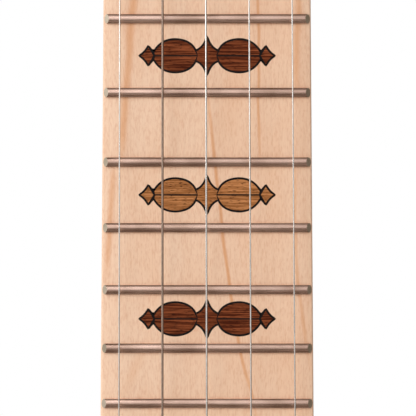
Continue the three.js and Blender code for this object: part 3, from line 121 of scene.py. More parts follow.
@dataclass(frozen=True)
class Layout:
    """The sizes that the sub-assemblies share, as the CAD model has them."""

    scale_length: float = 667.0
    fret_count: int = 22
    board_past_last_fret: float = 9.17
    board_face: float = -10.0
    glue_face: float = -5.0
    treble_at_nut: float = 20.9
    treble_at_end: float = 24.35
    bass_at_nut: float = 13.0
    bass_at_shoulder: float = 13.45
    shoulder_length: float = 18.0
    shoulder_to_fifth_peg: float = 6.0
    pip_to_fifth_fret: float = 4.3
    fifth_peg_to_pip: float = 11.0
    head_drop: float = 2.5
    pot_tilt: float = 2.0
    peghead_tilt: float = -14.0
    peghead_start: float = 5.6
    rim_outer: float = 139.7
    rim_wall: float = 12.7
    board_end_gap: float = 2.6

    def fret(self, number: float) -> float:
        """Distance of a fret from the nut: each fret leaves the twelfth root of a half of what is left."""
        return self.scale_length * (1 - 2 ** (-number / 12))

    @property
    def board_length(self) -> float:
        """Length of the board on its centre line."""
        return self.fret(self.fret_count) + self.board_past_last_fret

    @property
    def pip(self) -> float:
        """Distance of the fifth string's pip from the nut."""
        return self.fret(5) - self.pip_to_fifth_fret

    @property
    def fifth_peg(self) -> float:
        """Distance of the fifth string's peg from the nut."""
        return self.pip - self.fifth_peg_to_pip

    @property
    def shoulder_start(self) -> float:
        """Distance from the nut at which the narrow board begins to widen."""
        return self.fifth_peg - self.shoulder_to_fifth_peg - self.shoulder_length

    @property
    def board_end_radius(self) -> float:
        """Radius about the pot's centre to which the board's end is cut."""
        return self.rim_outer + self.board_end_gap

    @property
    def pot_centre(self) -> float:
        """Distance of the pot's centre from the nut."""
        return self.board_length + self.board_end_radius

    @property
    def bridge_place(self) -> float:
        """Distance of the bridge below the pot's centre."""
        return self.scale_length - self.pot_centre

    @property
    def collar_inner(self) -> float:
        """Inner radius of the head's collar and of the bracket band."""
        return self.rim_outer + SEAT_GAP

    @property
    def rim_inner(self) -> float:
        """Inner radius of the wooden rim."""
        return self.rim_outer - self.rim_wall

    @property
    def pot(self) -> Placement:
        """The pot's frame: x, depth behind the head's playing face, and z up the neck."""
        y = self.board_face + self.head_drop + self.board_end_radius * math.sin(math.radians(self.pot_tilt))
        return Placement(self.pot_tilt, (0.0, y, -self.pot_centre))

    @property
    def peghead(self) -> Placement:
        """The peghead's frame: x, depth behind its face, and z towards its crown."""
        x = (self.treble_at_nut - self.bass_at_nut) / 2
        return Placement(self.peghead_tilt, (x, self.glue_face, self.peghead_start))

    def treble_edge(self, s: Array | float) -> Array | float:
        """The treble edge's x: a straight line from its place at the nut to that at the board's end."""
        return self.treble_at_nut + (self.treble_at_end - self.treble_at_nut) * s / self.board_length

    def bass_edge(self, s: Array | float) -> Array | float:
        """The bass edge's x: a slight taper that eases by a smooth step to the mirrored treble edge.

        Args:
            s: distances from the nut.

        Returns:
            The edge's x at each.
        """
        narrow = self.bass_at_nut + (self.bass_at_shoulder - self.bass_at_nut) * s / self.shoulder_start
        step = smooth_step((s - self.shoulder_start) / self.shoulder_length)
        return -(narrow + (self.treble_edge(s) - narrow) * step)

    def pot_limit(self, x: Array, y: Array, radius: Array | float) -> Array:
        """The z at which a line along the neck meets a cylinder about the pot's axis.

        Args:
            x: places across the neck.
            y: depths in the banjo's frame.
            radius: the cylinder's radius, one or one for each place.

        Returns:
            The banjo's z: the cylinder's upper half, carried along the tilted axis to the given depth.
        """
        tilt = math.radians(self.pot_tilt)
        up = np.sqrt(np.maximum(radius ** 2 - x ** 2, 0))
        w = (y - self.pot.origin[1] + up * math.sin(tilt)) / math.cos(tilt)
        return self.pot.origin[2] + w * math.sin(tilt) + up * math.cos(tilt)


LAYOUT = Layout()
BANJO = Placement()


# Meshes

def quarter_turn(steps: int) -> Array:
    """Angles from nothing to a right angle in even steps."""
    return np.linspace(0, math.pi / 2, steps + 1)


@dataclass
class Patch:
    """One surface: its points in millimetres and its faces."""

    points: Array
    faces: list[Sequence[int]]


def skinned(rings: Array, closed: bool = True, loop: bool = False) -> Patch:
    """Surface through rings of points.

    A face joins point k and k + 1 of a ring with the same points of the next ring.

    Args:
        rings: points, by ring, place in the ring and coordinate.
        closed: whether each ring's last point joins its first.
        loop: whether the last ring joins the first. If not, closed first and last rings get a flat face.

    Returns:
        The patch.
    """
    count, size = rings.shape[:2]
    row = np.arange(count if loop else count - 1)[:, None]
    column = np.arange(size if closed else size - 1)[None, :]
    after_row, after_column = (row + 1) % count, (column + 1) % size
    quads = np.stack([row * size + column, after_row * size + column,
                      after_row * size + after_column, row * size + after_column], axis=-1).reshape(-1, 4)
    faces: list[Sequence[int]] = quads.tolist()
    if closed and not loop:
        faces += [list(range(size)), list(range((count - 1) * size, count * size))]
    return Patch(rings.reshape(-1, 3), faces)


def turned(profile: Sequence[Pair], sides: int, ring: bool = False) -> Patch:
    """Turned piece about the Y axis: each profile point (radius, y) goes round the axis in equal steps.

    Args:
        profile: radii and heights.
        sides: steps in a full turn.
        ring: whether the profile is a closed loop, as that of a ring is.

    Returns:
        The patch.
    """
    radius, y = np.array(profile, float).T
    turn = np.arange(sides)[:, None] * TAU / sides
    rings = np.stack([radius * np.sin(turn), np.broadcast_to(y, (sides, len(y))), radius * np.cos(turn)], -1)
    return skinned(rings, closed=ring, loop=True)


def plate(outline: Array, low: float, high: float) -> Patch:
    """Flat plate: an outline in x and z, carried from one y to another."""
    return skinned(np.stack([np.insert(outline, 1, y, axis=1) for y in (low, high)]))


def bezier(points: Sequence[Pair], steps: int) -> Array:
    """Bezier curve by de Casteljau: neighbouring points are mixed by t until one is left.

    Args:
        points: two or more control points.
        steps: number of steps along the curve.

    Returns:
        steps + 1 points.
    """
    t = np.linspace(0, 1, steps + 1)[:, None, None]
    level = np.broadcast_to(np.array(points, float), (steps + 1, len(points), 2))
    while level.shape[1] > 1:
        level = level[:, :-1] * (1 - t) + level[:, 1:] * t
    return level[:, 0]


def offset(outline: Array, distance: Array | float) -> Array:
    """Outline moved along its normals: each point moves square to the line between its two neighbours.

    Args:
        outline: points going round once, either way.
        distance: how far outwards, for all or for each point.

    Returns:
        The moved points.
    """
    tangent = np.roll(outline, -1, axis=0) - np.roll(outline, 1, axis=0)
    tangent /= np.maximum(np.linalg.norm(tangent, axis=1, keepdims=True), 1e-9)
    area = np.sum(outline[:, 0] * np.roll(outline[:, 1], -1) - np.roll(outline[:, 0], -1) * outline[:, 1])
    outward = np.stack([tangent[:, 1], -tangent[:, 0]], axis=1) * math.copysign(1, area)
    return outline + outward * distance


def tube(path: Array, sides: int, across: Array | float, through: Array | float | None = None,
         start: Triple = (1.0, 0.0, 0.0)) -> Patch:
    """Oval section carried along a path, square to it.

    The first side vector is carried from station to station, each time less its part along the path.

    Args:
        path: stations in millimetres.
        sides: points of the section.
        across: half width along the side vector, one or one for each station.
        through: half width square to that, or None for a round section.
        start: the side vector at the first station.

    Returns:
        The patch.
    """
    tangent = np.gradient(path, axis=0)
    tangent /= np.linalg.norm(tangent, axis=1, keepdims=True)
    side = np.array(start, float)
    sidewise = []
    for along in tangent:
        side = side - along * (side @ along)
        side = side / np.linalg.norm(side)
        sidewise.append(side)
    u = np.array(sidewise)
    v = np.cross(tangent, u)
    turn = np.arange(sides) * TAU / sides
    a = np.broadcast_to(across, len(path))[:, None, None]
    b = a if through is None else np.broadcast_to(through, len(path))[:, None, None]
    cosine, sine = np.cos(turn)[None, :, None], np.sin(turn)[None, :, None]
    return skinned(path[:, None] + a * u[:, None] * cosine + b * v[:, None] * sine)


def rounded_rectangle(half_width: float, half_height: float, radius: float) -> Array:
    """Rectangle with round corners, as quarter circles of four steps about four centres.

    Args:
        half_width: half its width.
        half_height: half its height.
        radius: radius of the corners.

    Returns:
        Points going round it once.
    """
    quarter = quarter_turn(4)
    turns = np.concatenate([quarter + k * math.pi / 2 for k in range(4)])
    centres = np.repeat(np.array([[1, 1], [-1, 1], [-1, -1], [1, -1]]), len(quarter), axis=0)
    reach = np.array([half_width - radius, half_height - radius])
    return centres * reach + radius * np.stack([np.cos(turns), np.sin(turns)], axis=1)


def moved(patch: Patch, shift: Sequence[float] = (0, 0, 0), turn_y: float = 0.0) -> Patch:
    """The patch turned about the Y axis and then moved.

    Args:
        patch: the patch.
        shift: how far it moves along each axis.
        turn_y: the angle in radians.

    Returns:
        A new patch.
    """
    c, s = math.cos(turn_y), math.sin(turn_y)
    matrix = np.array([[c, 0, s], [0, 1, 0], [-s, 0, c]])
    return Patch(patch.points @ matrix.T + np.array(shift, float), patch.faces)


def mesh_of(name: str, patches: Sequence[Patch], place: Placement) -> bpy.types.Mesh:
    """Joins patches into one mesh in metres, with doubled points merged and faces pointing outwards.

    Args:
        name: name of the mesh.
        patches: its surfaces, in the frame of the place.
        place: where that frame stands.

    Returns:
        The mesh.
    """
    whole = bmesh.new()
    for patch in patches:
        part = bpy.data.meshes.new("part")
        part.from_pydata(place.to_banjo(patch.points) * MILLIMETRE, [], patch.faces)
        shell = bmesh.new()
        shell.from_mesh(part)
        bmesh.ops.remove_doubles(shell, verts=shell.verts, dist=WELD)
        bmesh.ops.dissolve_degenerate(shell, edges=shell.edges, dist=WELD / 10)
        bmesh.ops.recalc_face_normals(shell, faces=shell.faces)
        shell.to_mesh(part)
        shell.free()
        whole.from_mesh(part)
        bpy.data.meshes.remove(part)
    mesh = bpy.data.meshes.new(name)
    whole.to_mesh(mesh)
    whole.free()
    return mesh


def new_object(name: str, data: bpy.types.ID) -> Object:
    """Makes an object and links it to the scene.

    Args:
        name: its name.
        data: its mesh, camera or lamp.

    Returns:
        The object, at the origin.
    """
    made = bpy.data.objects.new(name, data)
    bpy.context.scene.collection.objects.link(made)
    return made


@dataclass(frozen=True)
class Dressing:
    """What a piece gets besides its shape."""

    finishes: tuple["Finish", ...]
    slot: str
    body: str = "body"
    replaces: tuple[str, ...] = ()
    bevel: float = 0.0
    sharp_angle: float = 35.0


def add_piece(name: str, patches: Sequence[Patch], dressing: Dressing, place: Placement = BANJO) -> Object:
    """Makes a piece of the banjo, dresses it and lets it ride on its body.

    Args:
        name: the piece's name.
        patches: its surfaces in millimetres.
        dressing: its finishes, body, slot and edges.
        place: the frame that the patches are given in.

    Returns:
        The new object.
    """
    return dressed(new_object(name, mesh_of(name, patches, place)), dressing)


def dressed(piece: Object, dressing: Dressing) -> Object:
    """Gives an object its materials, smooth faces, bevel and body.

    Args:
        piece: an object that holds a finished mesh.
        dressing: what it gets.

    Returns:
        The same object.
    """
    mesh = piece.data
    for finish in dressing.finishes:
        mesh.materials.append(material_of(finish))
    mesh.polygons.foreach_set("use_smooth", np.ones(len(mesh.polygons), bool))
    mesh.set_sharp_from_angle(angle=math.radians(dressing.sharp_angle))
    if dressing.bevel:
        bevel = piece.modifiers.new("bevel", "BEVEL")
        bevel.width = dressing.bevel * MILLIMETRE
        bevel.segments = 2
        bevel.limit_method = "ANGLE"
        bevel.angle_limit = math.radians(dressing.sharp_angle)
        bevel.harden_normals = True
    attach(piece, dressing.body)
    if dressing.replaces:
        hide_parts(*dressing.replaces)
    log.info("%s: %d faces on %s", piece.name, len(mesh.polygons), dressing.body)
    return piece


def combine(piece: Object, operation: str, patches: Sequence[Patch], place: Placement) -> None:
    """Joins patches to a piece, or cuts them out of it, for good.

    Args:
        piece: the object to change, before it is dressed.
        operation: UNION or DIFFERENCE.
        patches: surfaces of the tool.
        place: the frame that they are given in.
    """
    tool = new_object("tool", mesh_of("tool", patches, place))
    change = piece.modifiers.new("change", "BOOLEAN")
    change.operation, change.solver, change.object = operation, "EXACT", tool
    bpy.context.view_layer.update()
    graph = bpy.context.evaluated_depsgraph_get()
    result = bpy.data.meshes.new_from_object(piece.evaluated_get(graph))
    piece.modifiers.clear()
    piece.data = result
    bpy.data.objects.remove(tool)


# Finishes

def linear(colour: str) -> tuple[float, float, float, float]:
    """Colour for a shader: each sRGB channel c becomes c / 12.92 below 0.04045, else ((c + 0.055) / 1.055) ^ 2.4.

    Args:
        colour: sRGB hex value such as #E2C9A6.

    Returns:
        Red, green, blue and alpha, linear.
    """
    channels = np.array([int(colour[k:k + 2], 16) for k in (1, 3, 5)]) / 255
    values = np.where(channels <= 0.04045, channels / 12.92, ((channels + 0.055) / 1.055) ** 2.4)
    return (*values.tolist(), 1.0)


# Places of a colour mix's two inputs and of its result among the Mix node's sockets
MIX_A, MIX_B, MIX_RESULT = 6, 7, 2


def feed(node: Node, inputs: Mapping[str | int, object]) -> None:
    """Links or sets inputs of a node.

    Args:
        node: the node.
        inputs: for each input, by name or number, a socket to link, a node whose first output to link, or a value.
    """
    for key, value in inputs.items():
        source = value.outputs[0] if isinstance(value, Node) else value
        if isinstance(source, Socket):
            node.id_data.links.new(source, node.inputs[key])
        else:
            node.inputs[key].default_value = source


def add_node(tree: Tree, kind: str, inputs: Mapping[str | int, object] | None = None, **settings: object) -> Node:
    """Adds a node.

    Args:
        tree: the node tree.
        kind: the node's type, without its leading ShaderNode.
        inputs: its inputs, as feed takes them.
        settings: properties of the node.

    Returns:
        The node.
    """
    made = tree.nodes.new("ShaderNode" + kind)
    for key, value in settings.items():
        setattr(made, key, value)
    feed(made, inputs or {})
    return made


class Grain(Enum):
    """The way that a pattern runs: the local axis that it is stretched along."""

    ALONG_NECK = "z"
    ACROSS_NECK = "x"
    ROUND_POT = "round"


def coordinates(tree: Tree, grain: Grain) -> Socket:
    """Places on the piece in millimetres, with the grain along the third axis.

    Round the pot, the third coordinate is the angle about its axis times its radius.

    Args:
        tree: the node tree.
        grain: the way that the grain runs.

    Returns:
        The socket that gives them.
    """
    here = add_node(tree, "TexCoord").outputs["Object"]
    to_millimetres = {"Vector": here, "Scale": (1 / MILLIMETRE,) * 3}
    if grain is Grain.ALONG_NECK:
        return add_node(tree, "Mapping", to_millimetres).outputs[0]
    if grain is Grain.ACROSS_NECK:
        return add_node(tree, "Mapping", to_millimetres | {"Rotation": (0, math.pi / 2, 0)}).outputs[0]
    pot = LAYOUT.pot
    centre = tuple(-value * MILLIMETRE for value in pot.origin)
    from_centre = add_node(tree, "Mapping", {"Vector": here, "Location": centre})
    untilt = to_millimetres | {"Vector": from_centre, "Rotation": (-math.radians(pot.tilt), 0, 0)}
    x, w, z = add_node(tree, "SeparateXYZ", {"Vector": add_node(tree, "Mapping", untilt)}).outputs
    turn = add_node(tree, "Math", {0: x, 1: z}, operation="ARCTAN2")
    arc = add_node(tree, "Math", {0: turn, 1: LAYOUT.rim_outer}, operation="MULTIPLY")
    squares = [add_node(tree, "Math", {0: part, 1: part}, operation="MULTIPLY") for part in (x, z)]
    square = add_node(tree, "Math", {0: squares[0], 1: squares[1]})
    radius = add_node(tree, "Math", {0: square}, operation="SQRT")
    return add_node(tree, "CombineXYZ", {"X": radius, "Y": w, "Z": arc}).outputs[0]


def noise(where: Socket, size: Triple, detail: float) -> Socket:
    """Noise from 0 to 1 whose cells have a given size.

    Args:
        where: places in millimetres.
        size: the cells' size in millimetres along each axis.
        detail: number of finer layers.

    Returns:
        The noise's value.
    """
    scaled = add_node(where.id_data, "Mapping", {"Vector": where, "Scale": tuple(1 / value for value in size)})
    return add_node(where.id_data, "TexNoise", {"Vector": scaled, "Scale": 1.0, "Detail": detail}).outputs[0]


def ramped(value: Node | Socket, low: float, high: float, start: float = 0.0, end: float = 1.0) -> Socket:
    """The value carried smoothly from low to high over start to end.

    Args:
        value: what is carried over.
        low: the value that gives start.
        high: the value that gives end.
        start: the result at low.
        end: the result at high.

    Returns:
        The result.
    """
    ends = {"Value": value, "From Min": low, "From Max": high, "To Min": start, "To Max": end}
    return add_node(value.id_data, "MapRange", ends, interpolation_type="SMOOTHSTEP").outputs[0]


def mixed(share: Node | Socket, first: Socket | str, second: Socket | str) -> Socket:
    """Colour between two.

    Args:
        share: the second colour's share, from 0 to 1.
        first: a hex value or a socket.
        second: a hex value or a socket.

    Returns:
        The mixed colour.
    """
    first, second = (linear(c) if isinstance(c, str) else c for c in (first, second))
    mix = add_node(share.id_data, "Mix", {0: share, MIX_A: first, MIX_B: second}, data_type="RGBA")
    return mix.outputs[MIX_RESULT]


def warped(where: Socket, wave: Socket) -> Socket:
    """The places moved across the grain by a wave in millimetres."""
    across = add_node(where.id_data, "CombineXYZ", {"X": wave})
    return add_node(where.id_data, "VectorMath", {0: where, 1: across}).outputs[0]


def bump(surface: Node, height: Socket, depth: float, strength: float) -> None:
    """Raises the surface.

    Args:
        surface: the surface's node.
        height: heights from 0 to 1.
        depth: what a height of 1 is in millimetres.
        strength: how far the surface follows the heights.
    """
    heights = {"Height": height, "Distance": depth * MILLIMETRE, "Strength": strength}
    feed(surface, {"Normal": add_node(surface.id_data, "Bump", heights)})


@dataclass(frozen=True)
class Finish:
    """Base of the finishes: a principled surface whose look a finish's own shade method works out."""

    name: str
    colour: str
    roughness: float
    metallic: float = 0.0
    ior: float = 1.5
    specular: float = 0.5
    coat: float = 0.0
    coat_roughness: float = 0.1

    def shade(self, surface: Node) -> None:
        """Adds what is particular to the finish and feeds it to the surface."""


@cache
def material_of(finish: Finish) -> bpy.types.Material:
    """Material of a finish, made once.

    Args:
        finish: the finish.

    Returns:
        Its material.
    """
    material = bpy.data.materials.new(finish.name)
    material.use_nodes = True
    tree = material.node_tree
    tree.nodes.clear()
    inputs = {"Base Color": linear(finish.colour), "Roughness": finish.roughness, "Metallic": finish.metallic,
              "Coat Weight": finish.coat, "Coat Roughness": finish.coat_roughness}
    if not finish.metallic:
        inputs |= {"IOR": finish.ior, "Specular IOR Level": finish.specular}
    surface = add_node(tree, "BsdfPrincipled", inputs)
    add_node(tree, "OutputMaterial", {"Surface": surface})
    finish.shade(surface)
    return material


@dataclass(frozen=True)
class Streak:
    """One growth line that shows on the board, or a broad band of painted shade, in millimetres: a shallow bow between
    its lower and upper end.
    """

    x: Pair
    z: Pair
    width: float
    strength: float
    bow: float = 0.0
    fade: float = 6.0

    def share(self, where: Socket) -> Socket:
        """How much of it shows: a smooth hump across its line, faded out past either end.

        Args:
            where: places in millimetres, slightly warped.

        Returns:
            A share from 0 to the streak's strength.
        """
        tree = where.id_data
        x, _, z = add_node(tree, "SeparateXYZ", {"Vector": where}).outputs
        ends = {"Value": z, "From Min": self.z[0], "From Max": self.z[1],
                "To Min": self.x[0], "To Max": self.x[1]}
        straight = add_node(tree, "MapRange", ends, clamp=False)
        middle, half = sum(self.z) / 2, (self.z[1] - self.z[0]) / 2
        halves = {"Value": z, "From Min": middle, "From Max": middle + half}
        square = add_node(tree, "Math", {0: add_node(tree, "MapRange", halves, clamp=False), 1: 2.0}, operation="POWER")
        bowed = add_node(tree, "Math", {0: square, 1: -self.bow, 2: self.bow}, operation="MULTIPLY_ADD")
        centre = add_node(tree, "Math", {0: straight, 1: bowed})
        aside = add_node(tree, "Math", {0: x, 1: centre}, operation="SUBTRACT")
        distance = add_node(tree, "Math", {0: aside}, operation="ABSOLUTE")
        hump = ramped(distance, 0, self.width, self.strength, 0)
        above = ramped(z, self.z[0] - self.fade, self.z[0] + self.fade, 0, 1)
        below = ramped(z, self.z[1] - self.fade, self.z[1] + self.fade, 1, 0)
        both = add_node(tree, "Math", {0: above, 1: below}, operation="MULTIPLY")
        return add_node(tree, "Math", {0: hump, 1: both}, operation="MULTIPLY").outputs[0]


@dataclass(frozen=True)
class Maple(Finish):
    """Hard maple, planed and sealed: pale, with hair-fine fibres, faint mottling and a few warm growth lines."""

    late: str = "#E2A878"
    grain: Grain = Grain.ALONG_NECK
    fibre: Triple = (0.4, 0.4, 14.0)
    mottle: Triple = (6.0, 6.0, 22.0)
    mottle_strength: float = 0.22
    line_spacing: float = 9.0
    line_strength: float = 0.35
    fibre_strength: float = 0.10
    fleck: Triple = (0.45, 0.45, 1.2)
    fleck_strength: float = 0.08
    fleck_colour: str = "#A9744A"
    fibre_colour: str = "#A9744A"
    glue_colour: str = "#6B4326"
    streaks: tuple[Streak, ...] = ()
    plies: tuple[float, ...] = ()

    def shade(self, surface: Node) -> None:
        """Mixes the late wood's colour in along wavy growth lines and the streaks, the board's broad one being painted
        shade, then darkens by fibre, mottle and plies.

        Args:
            surface: the node that gets it.
        """
        tree = surface.id_data
        where = coordinates(tree, self.grain)
        wave = ramped(noise(where, (40, 40, 130), 1), 0, 1, -self.line_spacing, self.line_spacing)
        bands = noise(warped(where, wave), (self.line_spacing / 2, self.line_spacing * 2, 400), 2)
        line = ramped(bands, 0.60, 0.74, 0, self.line_strength)
        wander = ramped(noise(where, (25, 25, 20), 2), 0.2, 0.8, -0.5, 0.5)
        # The streaks: growth lines, and on the board also a broad band of painted shade on the treble side
        for streak in self.streaks:
            line = add_node(tree, "Math", {0: line, 1: streak.share(warped(where, wander))}, operation="MAXIMUM")
        colour = mixed(line, self.colour, self.late)
        mottle = noise(where, self.mottle, 3)
        colour = mixed(ramped(mottle, 0.35, 0.75, 0, self.mottle_strength), colour, self.late)
        fibre = noise(where, self.fibre, 3)
        dark = ramped(fibre, 0.38, 0.72, 0, self.fibre_strength)
        colour = mixed(dark, colour, self.fibre_colour)
        flecks = ramped(noise(where, self.fleck, 2), 0.4, 0.75, 0, self.fleck_strength)
        colour = mixed(flecks, colour, self.fleck_colour)
        if self.plies:
            radius = add_node(tree, "SeparateXYZ", {"Vector": where})
            for glue_line in self.plies:
                aside = add_node(tree, "Math", {0: radius, 1: glue_line}, operation="SUBTRACT")
                distance = add_node(tree, "Math", {0: aside}, operation="ABSOLUTE")
                colour = mixed(ramped(distance, 0.15, 0.45, 0.8, 0), colour, self.glue_colour)
        feed(surface, {"Base Color": colour,
                       "Roughness": ramped(mottle, 0.3, 0.8, self.roughness - 0.05, self.roughness + 0.06)})
        bump(surface, fibre, 0.03, 0.5)


@dataclass(frozen=True)
class InlayWood(Finish):
    """Oiled brown tonewood, sawn thin and let in across the board: straight dark lines and open pores."""

    dark: str = "#35190F"
    light: str = "#7E4A30"
    line: Triple = (0.28, 0.28, 9.0)
    pore: Triple = (0.16, 0.16, 1.3)
    pore_share: float = 0.5

    def shade(self, surface: Node) -> None:
        """Mixes light and dark wood along fine lines across the board, and puts dark dashes where pores are.

        Args:
            surface: the node that gets it.
        """
        where = coordinates(surface.id_data, Grain.ACROSS_NECK)
        lines = noise(where, self.line, 3)
        colour = mixed(ramped(lines, 0.35, 0.72), self.colour, self.light)
        pores = noise(where, self.pore, 1)
        dash = ramped(pores, 0.60, 0.70, 0, self.pore_share)
        feed(surface, {"Base Color": mixed(dash, colour, self.dark)})
        bump(surface, ramped(pores, 0.55, 0.7, 1, 0), 0.05, 0.6)


@dataclass(frozen=True)
class DrawnMetal(Finish):
    """Metal drawn or polished along its length: a bright surface with long hair-fine lines."""

    shade_colour: str = "#B9A79D"
    grain: Grain = Grain.ACROSS_NECK
    hair: Triple = (0.12, 0.12, 12.0)
    scratch: float = 0.4

    def shade(self, surface: Node) -> None:
        """Varies colour and roughness along long fine lines, with a slow change over the piece.

        Args:
            surface: the node that gets it.
        """
        where = coordinates(surface.id_data, self.grain)
        hair = noise(where, self.hair, 2)
        slow = noise(where, (9, 9, 9), 2)
        tint = ramped(slow, 0.3, 0.75, 0, 0.8)
        feed(surface, {"Base Color": mixed(tint, self.colour, self.shade_colour),
                       "Roughness": ramped(hair, 0.3, 0.7, self.roughness * 0.8, self.roughness * 1.3)})
        bump(surface, hair, 0.004, self.scratch)


@dataclass(frozen=True)
class WoundWire(Finish):
    """Plain steel core with a nickel wire wound round it: a ribbed surface, the wire's colour on the crowns of the
    turns and painted shade in the grooves between them.

    A real turn is about 0.13 mm wide. It is drawn twice as wide, because it would hardly show otherwise.
    """

    # Colour of the painted shade in the grooves between the turns
    groove: str = "#5F564E"
    turn_width: float = 0.26

    def shade(self, surface: Node) -> None:
        """Bands along the string by a sine of the place along the neck: painted shade in the grooves, the wire's colour
        on the crowns.

        Args:
            surface: the node that gets it.
        """
        tree = surface.id_data
        where = coordinates(tree, Grain.ALONG_NECK)
        z = add_node(tree, "SeparateXYZ", {"Vector": where}).outputs[2]
        phase = add_node(tree, "Math", {0: z, 1: TAU / self.turn_width}, operation="MULTIPLY")
        wave = add_node(tree, "Math", {0: phase}, operation="SINE")
        crown = ramped(wave, -1, 0.6)
        # Painted shade: the grooves get the dark colour, the crowns the wire's own
        feed(surface, {"Base Color": mixed(crown, self.groove, self.colour)})
        bump(surface, crown, 0.05, 0.6)


@dataclass(frozen=True)
class Plated(Finish):
    """Bright nickel plate over polished metal: mirror-like, a little warm, with faint handling haze."""

    haze: str = "#C0BFBC"

    def shade(self, surface: Node) -> None:
        """Lets a slow noise carry the colour towards the haze and the roughness up.

        Args:
            surface: the node that gets it.
        """
        where = coordinates(surface.id_data, Grain.ALONG_NECK)
        slow = noise(where, (11, 11, 11), 4)
        haze = ramped(slow, 0.42, 0.75, 0, 0.35)
        feed(surface, {"Base Color": mixed(haze, self.colour, self.haze),
                       "Roughness": ramped(slow, 0.4, 0.8, self.roughness, self.roughness * 1.6)})
        bump(surface, noise(where, (0.5, 0.5, 0.5), 2), 0.003, 0.3)


@dataclass(frozen=True)
class Speckled(Finish):
    """A surface with fine grains of a second colour: bone's canals, a coated skin's grit or a cast button's swirl."""

    second: str = "#D9CDB4"
    size: Triple = (0.5, 0.5, 4.0)
    share: float = 0.4
    depth: float = 0.01
    cloud: str = "#E4DAC4"
    cloud_size: float = 30.0

    def shade(self, surface: Node) -> None:
        """Mixes the second colour in by a fine noise and the cloud's colour by a slow one.

        Args:
            surface: the node that gets it.
        """
        where = coordinates(surface.id_data, Grain.ALONG_NECK)
        fine = noise(where, self.size, 2)
        colour = mixed(ramped(fine, 0.45, 0.75, 0, self.share), self.colour, self.second)
        slow = noise(where, (self.cloud_size,) * 3, 3)
        feed(surface, {"Base Color": mixed(ramped(slow, 0.45, 0.8, 0, 0.6), colour, self.cloud)})
        bump(surface, fine, self.depth, 0.6)


# The growth lines that show on the board, after a first broad band of painted shade that darkens and warms the treble
# side
BOARD_STREAKS_AND_SHADE = (
    # Painted shade: a broad soft band that darkens the treble half towards the late wood's colour
    Streak((11.0, 11.0), (-489.0, 0.0), 24.0, 0.13),
    Streak((-19.0, -16.0), (-400.3, -360.0), 1.5, 0.65, -0.4),
    Streak((-22.6, -20.8), (-427.0, -403.5), 1.2, 0.55),
    Streak((10.9, 0.4), (-460.0, -388.0), 0.75, 0.85, -1.2, 20.0),
    Streak((11.6, 11.9), (-401.0, -358.0), 0.65, 0.75, 0.0, 9.0),
    Streak((20.6, 20.6), (-386.0, -355.0), 1.3, 0.6),
    Streak((23.3, 19.9), (-447.0, -403.0), 0.8, 0.5, -1.0, 10.0),
    Streak((-18.7, -14.1), (-455.0, -444.0), 2.2, 0.25),
)

# Straight-grained hard maple, sanded and sealed matt: the pale board of the picture.
# Its streaks include a broad band of painted shade that darkens the treble half.
BOARD = Maple("sealed_maple_board", "#F2CFB3", 0.55, specular=0.35, streaks=BOARD_STREAKS_AND_SHADE, late="#DC9A66",
              line_strength=0.07, mottle_strength=0.18, fibre_strength=0.08, fleck=(0.26, 0.26, 1.1),
              fleck_strength=0.33, fleck_colour="#CF8F68")
# The same timber, sanded and sprayed with satin lacquer, which warms it: neck and peghead.
NECK = Maple("lacquered_maple_neck", "#E9C9A2", 0.36, coat=0.35, coat_roughness=0.28, late="#C98F5C",
             line_spacing=7, line_strength=0.45, fibre=(0.6, 0.6, 22.0), mottle=(7, 7, 9))
# Three bent plies of maple glued round a form, turned and lacquered: the rim.
RIM = Maple("bent_maple_rim", "#E4C096", 0.36, coat=0.35, coat_roughness=0.28, late="#C08453", grain=Grain.ROUND_POT,
            line_spacing=6, line_strength=0.45, fibre=(0.6, 0.6, 30.0), mottle=(7, 7, 12), plies=(131.2, 135.5))
# Bare maple of the bridge, sanded only: matt and a shade darker, with close grain.
BRIDGE = Maple("bare_maple_bridge", "#E0BC92", 0.6, late="#B97F50", grain=Grain.ACROSS_NECK, line_spacing=4,
               line_strength=0.5, fibre=(0.3, 0.3, 12.0), mottle=(4, 4, 12))
# Dark red-brown tonewood, sawn thin, let in and oiled: matt, with near-black pores.
DARK_INLAY = InlayWood("oiled_dark_inlay", "#471A08", 0.6, specular=0.06, dark="#1C0803", light="#95502F",
                       pore_share=0.8)
# Mid-brown open-pored tonewood, sawn thin, let in and oiled: matt, with dark dashes on a golden ground.
LIGHT_INLAY = InlayWood("oiled_light_inlay", "#8F5930", 0.6, specular=0.06, dark="#331709", light="#C98855",
                        line=(0.35, 0.35, 7.0), pore=(0.2, 0.2, 1.1), pore_share=0.75)
# Dyed epoxy, poured round each inlaid piece and sanded flush: a flat black outline.
FILLER = Speckled("black_inlay_filler", "#0F0907", 0.5, specular=0.15, second="#1A110D", cloud="#140C09",
                  share=0.5)
# Ebony of the bridge's cap, scraped and oiled: near black with fine brown streaks and a low sheen.
EBONY = Speckled("oiled_ebony", "#211916", 0.4, second="#35291F", cloud="#2B211B", size=(0.3, 0.3, 5), share=0.6)
# Nickel silver, drawn to fret wire, filed and polished along its length: warm pinkish white with soft lines.
FRET = DrawnMetal("polished_nickel_silver", "#F5D2C1", 0.25, 1.0, shade_colour="#C2A08E")
# The same wire where a file has cut its ends: duller, with cross scratches.
FILED = DrawnMetal("filed_nickel_silver", "#D8C9B5", 0.34, 1.0, shade_colour="#A99A84", hair=(0.1, 0.1, 0.6))
# Plain high-carbon steel music wire, drawn through a die: a smooth, neutral bright line.
STEEL_STRING = DrawnMetal("drawn_steel_wire", "#DEDDDA", 0.26, 1.0, shade_colour="#D2D1CE", grain=Grain.ALONG_NECK,
                          scratch=0.05)
# Steel core with nickel wire wound round it: a duller, ribbed line beside the plain strings, with painted shade in its
# grooves.
WOUND_STRING = WoundWire("wound_string", "#BBA495", 0.3, 1.0)
